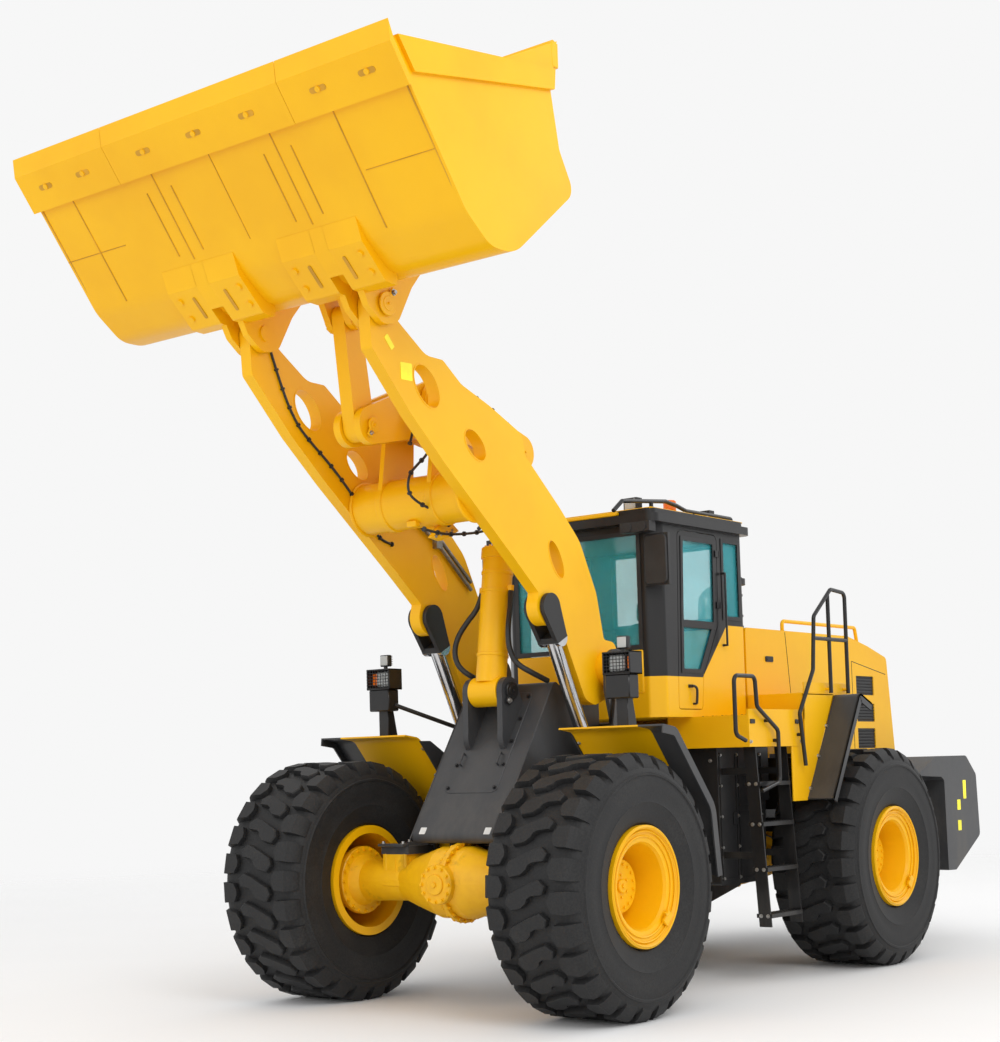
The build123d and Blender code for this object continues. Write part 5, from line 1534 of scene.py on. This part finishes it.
class LOADER_OT_lamps(bpy.types.Operator):
    """Build the guarded headlamps, the work lamps, the beacon and the lenses"""

    bl_idname = "loader.lamps"
    bl_label = "Lamps"

    def execute(self, context):
        settings = context.scene.loader_lamps
        bracket, glass, amber, work = Shape(), Shape(), Shape(), Shape()
        for side in SIDES:
            low, high = sorted((side * 1.156, side * 1.430))
            for z in (2.700, 2.876):
                bracket.block((1.530, low, z), (1.705, high, z + 0.012), 0.002)
            for y in (low, high - 0.012):
                bracket.block((1.530, y, 2.700), (1.705, y + 0.012, 2.888), 0.002)
            bracket.block((1.530, low, 2.700), (1.540, high, 2.888), 0.002)
            bracket.block((1.550, low + 0.012, 2.505), (1.693, high - 0.024, 2.702), 0.010)
            centre = side * 1.293
            bracket.prism(
                [(1.50, 2.24), (1.64, 2.24), (1.64, 2.51), (1.56, 2.51)], (0, centre - 0.055, 0), *SIDE_PLANE,
                (0, 0.11, 0), 0.004
            )
            bracket.rod((1.60, side * 1.19, 2.56), (1.11, side * 0.822, 2.33), 0.020, 16)
            bracket.block((1.58, centre - 0.015, 2.887), (1.605, centre + 0.015, 2.920), 0.002)
            work.block((1.560, centre - 0.052, 2.913), (1.615, centre + 0.052, 3.018), 0.008)
            for step in range(6):
                z = 2.925 + step * 0.016
                work.block((1.545, centre - 0.046, z), (1.562, centre + 0.046, z + 0.005), 0.001)
            inner, outer = sorted((side * 1.192, side * 1.345))
            glass.block((1.640, inner, 2.728), (1.672, outer, 2.862), 0.012)
            glass.block((1.612, centre - 0.043, 2.922), (1.620, centre + 0.043, 3.009), 0.003)
            inner, outer = sorted((side * 1.362, side * 1.414))
            amber.block((1.620, inner, 2.742), (1.650, outer, 2.848), 0.008)
        piece = dress("lamp_guards", bracket.mesh("guards"), "black_enamel", "front_body")
        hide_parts("lamp_brackets")
        dress("work_lamp_bodies", work.mesh("work"), "black_plastic", "front_body")
        lenses = dress("headlamp_lenses", glass.mesh("lenses"), "lamp_glass", "front_body")
        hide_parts("headlamps")
        dress("front_markers", amber.mesh("markers"), "amber_lens", "front_body")
        for side, name in ((1, "left"), (-1, "right")):
            low, high = sorted((side * 1.168, side * 1.418))
            wire = Shape()
            wire.rod((1.704, low, 2.708), (1.704, low, 2.882), settings.wire, 6)
            gap = (high - low) / (settings.across - 1)
            upright = repeated(wire, "black_enamel", settings.across, shift=(0, gap, 0))
            dress("guard_uprights_" + name, upright, "black_enamel", "front_body", 60.0)
            wire = Shape()
            wire.rod((1.708, low - 0.008, 2.715), (1.708, high + 0.008, 2.715), settings.wire, 6)
            level = repeated(wire, "black_enamel", 7, shift=(0, 0, 0.027))
            dress("guard_levels_" + name, level, "black_enamel", "front_body", 60.0)

        lens, body = Shape(), Shape()
        for side in SIDES:
            for y in (0.68, 0.83):
                spot = Vector((0.543, side * y, 4.065))
                lens.rod(spot, spot + Vector((0.006, 0, 0)), 0.036, 28, 0.002)
                body.rod(spot, spot + Vector((0.010, 0, 0)), 0.044, 28, 0.002)
            for x, out in ((0.35, 1), (-0.90, -1)):
                face = x + out * 0.045
                y = side * 0.62
                lens.block((face, y - 0.058, 4.248), (face + out * 0.005, y + 0.058, 4.342), 0.002)
                for step in range(6):
                    z = 4.25 + step * 0.017
                    back = x - out * 0.045
                    body.block((back, y - 0.060, z), (back - out * 0.014, y + 0.060, z + 0.005), 0.001)
        dress("roof_lenses", lens.mesh("lenses"), "lamp_glass", "rear_body")
        dress("roof_lamp_fins", body.mesh("fins"), "black_plastic", "rear_body")
        dome = Shape()
        dome.rod((-0.30, 0.60, 4.292), (-0.30, 0.60, 4.400), 0.060, 36, 0.012)
        dress("beacon_lens", dome.mesh("dome"), "amber_lens", "rear_body")
        return {"FINISHED"}


# ---------------------------------------------------------------- cab
DOOR_PANE = [(0.018, 2.79), (-0.032, 4.01), (-0.60, 4.01), (-0.578, 3.262), (-0.32, 2.82), (-0.30, 2.79)]
QUARTER_PANE = [(-0.735, 3.30), (-0.735, 4.04), (-1.05, 4.04), (-1.05, 3.30)]


def inset(outline, amount):
    """An outline moved inwards by an amount, its corners kept."""
    turned = 0.0
    for (a, b), (c, d) in zip(outline, outline[1:] + outline[:1]):
        turned += a * d - b * c
    hand = 1 if turned > 0 else -1
    spots = []
    for index, point in enumerate(outline):
        here = Vector(point)
        before = (here - Vector(outline[index - 1])).normalized()
        after = (Vector(outline[(index + 1) % len(outline)]) - here).normalized()
        mitre = Vector((-(before.y + after.y), before.x + after.x)).normalized()
        normal = Vector((-before.y, before.x))
        spots.append(tuple(here + mitre * (hand * amount / max(0.35, mitre.dot(normal)))))
    return spots


def collar(shape, outer, inner, origin, across, up, depth):
    """A flat ring between two outlines of as many points each."""
    origin, across, up, depth = (Vector(term) for term in (origin, across, up, depth))
    rings = []
    for (a, b), (c, d) in zip(outer, inner):
        far, near = origin + across * a + up * b, origin + across * c + up * d
        rings.append([far, far + depth, near + depth, near])
    return shape.skin(rings, closed=True)


class LOADER_PG_cab(bpy.types.PropertyGroup):
    seal: bpy.props.FloatProperty(
        name="Seal", description="Width of a window's seal", default=0.026, unit="LENGTH"
    )
    cowl_top: bpy.props.FloatProperty(
        name="Cowl height", description="Top of the panel below the windscreen", default=2.985, unit="LENGTH"
    )
    cushion: bpy.props.FloatProperty(
        name="Cushion", description="How far a seat pad crowns", default=0.022, unit="LENGTH"
    )


class LOADER_OT_cab(bpy.types.Operator):
    """Add seals, cowl, wipers, handles, mirrors' glass and roof pressings to the cab"""

    bl_idname = "loader.cab"
    bl_label = "Cab details"

    def execute(self, context):
        settings = context.scene.loader_cab
        seals = Shape()
        for side, panes in ((1, (QUARTER_PANE,)), (-1, (QUARTER_PANE, DOOR_PANE))):
            for pane in panes:
                collar(
                    seals, inset(pane, -0.012), inset(pane, settings.seal), (0, side * CAB_SIDE, 0),
                    *SIDE_PLANE, (0, side * 0.006, 0)
                )
        screen = [
            (-0.69, settings.cowl_top + 0.02), (0.69, settings.cowl_top + 0.02), (0.69, 4.04), (-0.69, 4.04)
        ]
        collar(
            seals, inset(screen, -0.015), inset(screen, settings.seal), (0.386, 0, 0), *FRONT_PLANE,
            (0.007, 0, 0)
        )
        rear = [(-0.60, 3.32), (0.60, 3.32), (0.60, 4.04), (-0.60, 4.04)]
        collar(
            seals, inset(rear, -0.015), inset(rear, settings.seal), (-1.121, 0, 0), *FRONT_PLANE,
            (-0.007, 0, 0)
        )
        dress("window_seals", seals.mesh("seals"), "black_plastic", "rear_body")
        seals = Shape()
        collar(
            seals, inset(DOOR_PANE, -0.012), inset(DOOR_PANE, settings.seal), (0, CAB_SIDE, 0), *SIDE_PLANE,
            (0, 0.006, 0)
        )
        seals.prism(
            [(-0.590, 3.19), (0.005, 3.19), (0.000, 3.26), (-0.590, 3.26)], (0, 0.862, 0), *SIDE_PLANE,
            (0, 0.014, 0), 0.004
        )
        dress("door_seals", seals.mesh("seals"), "black_plastic", "door")
        handle = Shape()
        handle.block((-0.160, 0.866, 2.645), (-0.075, 0.874, 2.675), 0.003)
        handle.rod((-0.085, 0.866, 2.66), (-0.085, 0.905, 2.66), 0.010, 12)
        handle.rod((-0.155, 0.866, 2.50), (-0.155, 0.905, 2.50), 0.010, 12)
        dress("door_handle_mounts", handle.mesh("handle"), "black_plastic", "door")
        pipe(
            "door_handle",
            [(-0.085, 0.905, 2.66), (-0.155, 0.912, 2.66), (-0.160, 0.912, 2.58), (-0.155, 0.905, 2.50)],
            0.012, "door", "black_plastic"
        )

        cowl = Shape()
        cowl.block((0.352, -0.700, 2.600), (0.397, 0.700, settings.cowl_top), 0.010)
        dress("cab_cowl", cowl.mesh("cowl"), "yellow_enamel", "rear_body")
        plate = Shape()
        plate.prism(rounded(0.16, 0.085, 0.006, 1), (0.3972, 0.55, 2.885), *FRONT_PLANE, (0.0012, 0, 0))
        dress("cab_blank_stickers", plate.mesh("plate"), "blank_sticker", "rear_body")

        wiper = Shape()
        wiper.rod((0.392, 0.05, 3.015), (0.412, 0.05, 3.015), 0.022, 20, 0.004)
        wiper.prism(
            [(-0.012, 0), (0.012, 0), (0.007, 0.62), (-0.007, 0.62)], (0.408, 0.05, 3.015), (0, 0.94, 0.342),
            (0, -0.342, 0.94), (0.008, 0, 0), 0.002
        )
        wiper.prism(
            [(-0.006, -0.36), (0.006, -0.36), (0.006, 0.36), (-0.006, 0.36)], (0.398, -0.155, 3.58),
            (0, 0.97, 0.24), (0, -0.24, 0.97), (0.012, 0, 0), 0.002
        )
        dress("wiper", wiper.mesh("wiper"), "black_plastic", "rear_body")

        glass = Shape()
        for side in SIDES:
            low, high = sorted((side * 0.800, side * 1.022))
            glass.block((0.4085, low, 3.70), (0.4120, high, 3.985), 0.001)
            glass.block((0.4085, low, 3.555), (0.4120, high, 3.680), 0.001)
        dress("mirror_glass", glass.mesh("glass"), "mirror_glass", "rear_body")
        shells = Shape()
        for side in SIDES:
            low, high = sorted((side * 0.785, side * 1.038))
            shells.prism(
                rounded(0.240, 0.450, 0.05, 4), (0.449, (low + high) / 2, 3.77), *FRONT_PLANE, (0.020, 0, 0),
                0.012
            )
        dress("mirror_shells", shells.mesh("shells"), "black_plastic", "rear_body")

        rails = [(-0.700, 0.880, 3.05), (-0.700, 0.925, 3.05), (-0.700, 0.925, 3.72), (-0.700, 0.880, 3.72)]
        pipe("cab_grab_rail", rails, 0.013, "rear_body", "black_enamel", straight=True)
        roof = Shape()
        for x_low, x_high in ((-0.255, 0.462), (-1.142, -0.290)):
            roof.block((x_low, -0.882, 4.228), (x_high, 0.882, 4.243), 0.008)
        for y in (-0.35, 0.0, 0.35):
            roof.block((-1.05, y - 0.03, 4.240), (-0.36, y + 0.03, 4.252), 0.006)
        roof.block((0.470, -0.55, 4.190), (0.525, 0.55, 4.225), 0.008)
        dress("roof_pressings", roof.mesh("roof"), "yellow_enamel", "rear_body")
        spots = []
        for x in (-1.08, -0.62, -0.22, 0.30):
            spots.append((Vector((x, 0.80, 4.243)), Vector((0, 0, 1))))
        bolts("roof_bolts", both_hands(spots), "rear_body", 0.014)
        return {"FINISHED"}


SEAT_PADS = [  # half width, then the pad's outline in x and z
    (0.245, (-0.79, 2.715), (-0.235, 2.715), (-0.235, 2.84), (-0.79, 2.84)),
    (0.225, (-0.815, 2.865), (-0.670, 2.865), (-0.785, 3.33), (-0.905, 3.33)),
    (0.150, (-0.895, 3.355), (-0.800, 3.355), (-0.830, 3.54), (-0.915, 3.54)),
    (0.190, (-0.75, 2.45), (-0.27, 2.45), (-0.27, 2.69), (-0.75, 2.69)),
]


class LOADER_OT_seat(bpy.types.Operator):
    """Upholster the seat and fit the steering wheel and console"""

    bl_idname = "loader.seat"
    bl_label = "Seat and controls"

    def execute(self, context):
        settings = context.scene.loader_cab
        form = bmesh.new()
        for outline in SEAT_PADS:
            pad = Shape()
            pad.prism(
                [(x, z) for x, z in outline[1:]], (0, -outline[0], 0), *SIDE_PLANE, (0, 2 * outline[0], 0)
            )
            long = [edge for edge in pad.form.edges if edge.calc_length() > 0.12]
            bmesh.ops.subdivide_edges(pad.form, edges=long, cuts=6, use_grid_fill=True)
            spots = [vertex.co.copy() for vertex in pad.form.verts]
            centre = sum(spots, Vector()) / len(spots)
            half = [max(abs(spot[axis] - centre[axis]) for spot in spots) for axis in range(3)]
            for vertex in pad.form.verts:
                share = [(vertex.co[axis] - centre[axis]) / half[axis] for axis in range(3)]
                for axis in range(3):
                    others = [1 - share[other] ** 2 for other in range(3) if other != axis]
                    vertex.co[axis] += math.copysign(
                        settings.cushion, share[axis]
                    ) * share[axis] ** 2 * others[0] * others[1]
            made = pad.mesh("pad")
            form.from_mesh(made)
        mesh = bpy.data.meshes.new("pads")
        form.to_mesh(mesh)
        form.free()
        piece = dress("seat_cushions", mesh, "seat_cloth", "rear_body", 60.0)
        soften = piece.modifiers.new("rounded", "SUBSURF")
        soften.levels = soften.render_levels = 2
        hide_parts("seat")

        wheel = Shape()
        axis = Vector((-0.18, 0, 0.98)).normalized()
        hub = Vector((0.030, 0, 3.145))
        ring = [
            (0.190 + 0.016 * math.cos(turn), 0.016 * math.sin(turn))
            for turn in (math.tau * step / 10 for step in range(10))
        ]
        wheel.turned(ring, hub, 48, axis)
        dress("steering_rim", wheel.mesh("wheel"), "black_plastic", "rear_body")
        console = Shape()
        console.block((-0.62, -0.46, 2.46), (-0.10, -0.30, 3.02), 0.02)
        console.block((-0.58, 0.30, 2.80), (-0.16, 0.38, 3.00), 0.02)
        for x in (-0.20, -0.27, -0.34):
            console.rod((x, -0.38, 3.02), (x + 0.01, -0.38, 3.13), 0.008, 12)
            console.rod((x + 0.01, -0.38, 3.12), (x + 0.012, -0.38, 3.16), 0.018, 14, 0.006)
        console.block((0.12, -0.25, 3.02), (0.20, 0.25, 3.20), 0.02)
        dress("cab_console", console.mesh("console"), "black_plastic", "rear_body")
        return {"FINISHED"}


# ---------------------------------------------------------------- hood
class LOADER_PG_hood(bpy.types.PropertyGroup):
    slat: bpy.props.FloatProperty(
        name="Slat pitch", description="Spacing of the vent slats", default=0.032, unit="LENGTH"
    )
    seam: bpy.props.FloatProperty(
        name="Seam", description="Width of a seam between panels", default=0.008, unit="LENGTH"
    )


class LOADER_OT_hood(bpy.types.Operator):
    """Add seams, vent slats, the rear grille's bars, latches and the stack's bands"""

    bl_idname = "loader.hood"
    bl_label = "Hood details"

    def execute(self, context):
        settings = context.scene.loader_hood
        body = "rear_body"
        seams = Shape()
        lines = (
            ((-1.935, 3.225), (-2.011, 2.624)), ((-2.011, 2.624), (-2.011, 2.050)),
            ((-2.011, 2.624), (-3.340, 2.560)), ((-3.340, 2.980), (-3.340, 2.050)),
            ((-3.340, 2.980), (-4.120, 2.860))
        )
        for side in SIDES:
            for start, end in lines:
                seams.rod(
                    (start[0], side * HOOD_SIDE, start[1]), (end[0], side * HOOD_SIDE, end[1]),
                    settings.seam / 2, 6
                )
        for x in (-1.938, -3.20):
            seams.rod((x, -0.845, 3.2395), (x, 0.845, 3.2395), settings.seam / 2, 6)
        dress("hood_seams", seams.mesh("seams"), "black_plastic", body, 60.0)

        for side, name in ((1, "left"), (-1, "right")):
            for number, (low, high) in enumerate(((2.630, 2.830), (2.350, 2.540), (2.070, 2.280))):
                slat = Shape()
                y = side * 0.838
                slat.prism(
                    [(-0.010, -0.004), (0.010, 0.010), (0.010, 0.014), (-0.010, 0.0)],
                    (-3.825, y, low + 0.014), (0, side, 0), (0, 0, 1), (0.39, 0, 0)
                )
                count = int((high - low - 0.03) / settings.slat) + 1
                slats = repeated(slat, "black_plastic", count, shift=(0, 0, settings.slat))
                dress(f"vent_slats_{name}_{number + 1}", slats, "black_plastic", body, 50.0)
        latches = Shape()
        for side in SIDES:
            for x, z in ((-2.20, 2.40), (-3.18, 2.40), (-1.60, 2.95)):
                y = side * 0.850
                latches.prism(
                    rounded(0.15, 0.055, 0.015, 3), (x, y, z), *SIDE_PLANE, (0, side * 0.010, 0), 0.003
                )
                latches.rod((x + 0.045, y, z), (x + 0.045, y + side * 0.016, z), 0.014, 18, 0.003)
        dress("hood_latches", latches.mesh("latches"), "black_plastic", body)
        lean = Vector((0.124156, 0, 0.992263))
        out = Vector((-0.992263, 0, 0.124156))
        foot = Vector((-4.284, 0, 2.032)) + lean * 0.12 + out * 0.031
        bar = Shape()
        bar.prism(
            [(-0.006, 0), (0.006, 0), (0.006, 0.012), (-0.006, 0.012)], foot + Vector((0, -0.60, 0)),
            (0, 1, 0), out, lean * 0.78
        )
        bars = repeated(bar, "black_enamel", 31, shift=(0, 0.04, 0))
        dress("grille_bars", bars, "black_enamel", "grille", 50.0)
        edge = Shape()
        for y in (-0.635, 0.635):
            edge.prism(
                [(-0.02, 0), (0.02, 0), (0.02, 0.016), (-0.02, 0.016)],
                foot + Vector((0, y, 0)) - lean * 0.04, (0, 1, 0), out, lean * 0.86, 0.003
            )
        for along in (-0.03, 0.39, 0.81):
            edge.prism(
                [(0, 0), (1.27, 0), (1.27, 0.016), (0, 0.016)],
                foot + Vector((0, -0.635, 0)) + lean * (along - 0.015), (0, 1, 0), out, lean * 0.035, 0.003
            )
        edge.rod(
            foot + Vector((0, -0.52, 0)) + lean * 0.36 + out * 0.016,
            foot + Vector((0, -0.52, 0)) + lean * 0.48 + out * 0.016, 0.012, 12, 0.003
        )
        dress("grille_frame", edge.mesh("edge"), "black_enamel", "grille")
        stack = Shape()
        for z in (3.255, 3.36, 3.56, 3.672):
            stack.rod((-1.33, 0.62, z), (-1.33, 0.62, z + 0.022), 0.107, 44, 0.004)
        stack.rod((-1.33, 0.62, 3.728), (-1.33, 0.62, 3.745), 0.110, 40, 0.006)
        dress("stack_bands", stack.mesh("bands"), "black_plastic", body)
        tail = Shape()
        tail.rod((-2.60, -0.45, 3.235), (-2.60, -0.45, 3.262), 0.125, 40, 0.006)
        dress("exhaust_collar", tail.mesh("collar"), "black_enamel", body)
        pipe(
            "exhaust_pipe",
            [(-2.60, -0.45, 3.25), (-2.60, -0.45, 3.62), (-2.64, -0.45, 3.72), (-2.74, -0.45, 3.76)], 0.075,
            body, "worn_steel", sides=28
        )
        return {"FINISHED"}


# ---------------------------------------------------------------- deck, boxes, steps and counterweight
class LOADER_PG_rear(bpy.types.PropertyGroup):
    stud: bpy.props.FloatProperty(
        name="Tread stud", description="Radius of an anti-slip stud", default=0.009, unit="LENGTH"
    )
    bolt: bpy.props.FloatProperty(
        name="Panel bolt", description="Radius of a panel bolt's head", default=0.012, unit="LENGTH"
    )


# x from and to, z from and to
BOX_DOORS = ((-0.545, -0.255, 0.90, 2.05), (-1.010, -0.580, 0.90, 1.52), (-1.010, -0.580, 1.56, 2.05))


class LOADER_OT_steps(bpy.types.Operator):
    """Add treads to the steps and decks, and bolts, hinges and seams to the boxes"""

    bl_idname = "loader.steps"
    bl_label = "Steps and boxes"

    def execute(self, context):
        settings = context.scene.loader_rear
        body = "rear_body"
        studs = []
        for side in SIDES:
            for height in (1.745, 1.387, 0.986, 0.578):
                middle_y = 1.345 + (2.095 - height) * 0.062
                for shift in (-0.055, -0.015, 0.025):
                    y = side * (middle_y + shift)
                    studs += row_spots(
                        (-0.82, y, height + 0.0355), (-0.34, y, height + 0.0355), 10, (0, 0, 1)
                    )
            for y in STUD_ROWS:
                studs += row_spots((-1.03, side * y, 2.3795), (-0.18, side * y, 2.3795), 14, (0, 0, 1))
        bolts("tread_studs", studs, body, settings.stud, 0.005, 1.05, 6, "black_enamel")
        spots = []
        for height in (1.763, 1.405, 1.004, 0.596):
            middle_y = 1.345 + (2.095 - height) * 0.062
            for shift in (-0.035, 0.035):
                spots.append((Vector((-0.292, middle_y + shift, height)), Vector((1, 0, 0))))
                spots.append((Vector((-0.868, middle_y + shift, height)), Vector((-1, 0, 0))))
        for x in (-1.06, -0.14, -0.60):
            spots.append((Vector((x, 1.450, 2.14)), Vector((0, 1, 0))))
        bolts("ladder_bolts", both_hands(spots), body, settings.bolt)
        spots = []
        for x in (-0.27, -0.56, -0.98):
            spots += row_spots((x, 1.050, 0.92), (x, 1.050, 2.03), 5, (0, 1, 0))
        for z in (1.02, 1.42, 1.98):
            spots += row_spots((-0.225, 0.70, z), (-0.225, 0.98, z), 2, (1, 0, 0))
        bolts("box_bolts", both_hands(spots), body, settings.bolt)
        seams = Shape()
        for side in SIDES:
            y = side * 1.0505
            for x_low, x_high, z_low, z_high in BOX_DOORS:
                door = [(x_low, z_low), (x_high, z_low), (x_high, z_high), (x_low, z_high)]
                collar(
                    seams, door, inset(door, 0.012), (0, y - side * 0.002, 0), *SIDE_PLANE,
                    (0, side * 0.010, 0)
                )
            for z in (1.08, 1.80):
                seams.rod(
                    (-0.257, y + side * 0.004, z - 0.04), (-0.257, y + side * 0.004, z + 0.04), 0.010, 12,
                    0.002
                )
            seams.prism(
                rounded(0.06, 0.11, 0.012, 3), (-0.50, y, 1.45), *SIDE_PLANE, (0, side * 0.012, 0), 0.003
            )
            for x in (-1.0, -0.18):
                seams.block((x - 0.04, side * 1.44, 2.30), (x + 0.04, side * 1.46, 2.34), 0.004)
        dress("box_seams", seams.mesh("seams"), "black_enamel", body)
        return {"FINISHED"}


# x, z, width, height
WEIGHT_STICKERS = ((-4.78, 1.60, 0.075, 0.20), (-4.62, 1.44, 0.085, 0.11), (-4.62, 1.22, 0.085, 0.11))


class LOADER_OT_counterweight(bpy.types.Operator):
    """Add tail lamps, seams, bolts and blank stickers to the counterweight"""

    bl_idname = "loader.counterweight"
    bl_label = "Counterweight details"

    def execute(self, context):
        body = "rear_body"
        stickers, pale = Shape(), Shape()
        for side in SIDES:
            y = side * 1.4005
            for x, z, width, height in WEIGHT_STICKERS:
                stickers.prism(rounded(width, height, 0.006, 1), (x, y, z), *SIDE_PLANE, (0, side * 0.001, 0))
        for y in (-1.15, 1.15):
            stickers.prism(rounded(0.30, 0.10, 0.006, 1), (-5.1265, y, 1.40), *FRONT_PLANE, (-0.0015, 0, 0))
        pale.prism(rounded(0.30, 0.16, 0.008, 2), (-5.109, 0, 1.64), *FRONT_PLANE, (-0.004, 0, 0))
        dress("weight_blank_stickers", stickers.mesh("stickers"), "blank_sticker", body)
        dress("weight_blank_plate", pale.mesh("plate"), "pale_sticker", body)
        lamps, frames = Shape(), Shape()
        for side in SIDES:
            low, high = sorted((side * 1.00, side * 1.28))
            frames.block((-5.125, low - 0.02, 1.585), (-5.085, high + 0.02, 1.715), 0.006)
            lamps.block((-5.132, low, 1.600), (-5.115, high, 1.700), 0.006)
        dress("tail_lamp_frames", frames.mesh("frames"), "black_plastic", body)
        dress("tail_lamps", lamps.mesh("lamps"), "red_lens", body)
        seams = Shape()
        for side in SIDES:
            seams.rod((-4.62, side * 0.72, 1.964), (-4.10, side * 0.72, 1.964), 0.005, 6)
        for y in (-0.72, 0.72):
            seams.rod((-5.117, y, 1.70), (-5.143, y, 1.15), 0.005, 6)
        dress("weight_seams", seams.mesh("seams"), "black_plastic", body, 60.0)
        spots = []
        for y in (-0.60, -0.35, 0.35, 0.60):
            spots.append((Vector((-4.80, y, 1.930)), Vector((-0.65, 0, 0.76))))
        bolts("weight_bolts", spots, body, 0.030, 0.02, 1.3, finish="charcoal_enamel")
        return {"FINISHED"}


# ---------------------------------------------------------------- panel and run
class LOADER_PT_panel(bpy.types.Panel):
    """Lists the loader's pieces and their sizes"""

    bl_idname = "LOADER_PT_panel"
    bl_label = "Wheel loader"
    bl_space_type = "VIEW_3D"
    bl_region_type = "UI"
    bl_category = "Loader"

    def draw(self, context):
        for name, group in SETTINGS.items():
            for setting in group.__annotations__:
                self.layout.prop(getattr(context.scene, name), setting)
        for operator in OPERATORS:
            self.layout.operator(operator.bl_idname)


SETTINGS = {
    "loader_stage": LOADER_PG_stage,
    "loader_tyre": LOADER_PG_tyre,
    "loader_bucket": LOADER_PG_bucket,
    "loader_linkage": LOADER_PG_linkage,
    "loader_frame": LOADER_PG_frame,
    "loader_fender": LOADER_PG_fender,
    "loader_lamps": LOADER_PG_lamps,
    "loader_cab": LOADER_PG_cab,
    "loader_hood": LOADER_PG_hood,
    "loader_rear": LOADER_PG_rear,
}
OPERATORS = (
    LOADER_OT_stage,
    LOADER_OT_paint,
    LOADER_OT_tyres,
    LOADER_OT_rims,
    LOADER_OT_bucket,
    LOADER_OT_pins,
    LOADER_OT_cylinders,
    LOADER_OT_boom,
    LOADER_OT_front_frame,
    LOADER_OT_axles,
    LOADER_OT_fenders,
    LOADER_OT_lamps,
    LOADER_OT_cab,
    LOADER_OT_seat,
    LOADER_OT_hood,
    LOADER_OT_steps,
    LOADER_OT_counterweight,
)


def register():
    for group in SETTINGS.values():
        bpy.utils.register_class(group)
    for name, group in SETTINGS.items():
        setattr(bpy.types.Scene, name, bpy.props.PointerProperty(type=group))
    for shown in (*OPERATORS, LOADER_PT_panel):
        bpy.utils.register_class(shown)


def unregister():
    for shown in (LOADER_PT_panel, *reversed(OPERATORS)):
        bpy.utils.unregister_class(shown)
    for name, group in SETTINGS.items():
        delattr(bpy.types.Scene, name)
        bpy.utils.unregister_class(group)


def main():
    register()
    for operator in OPERATORS:
        group, name = operator.bl_idname.split(".")
        getattr(getattr(bpy.ops, group), name)()


if __name__ == "__main__":
    main()
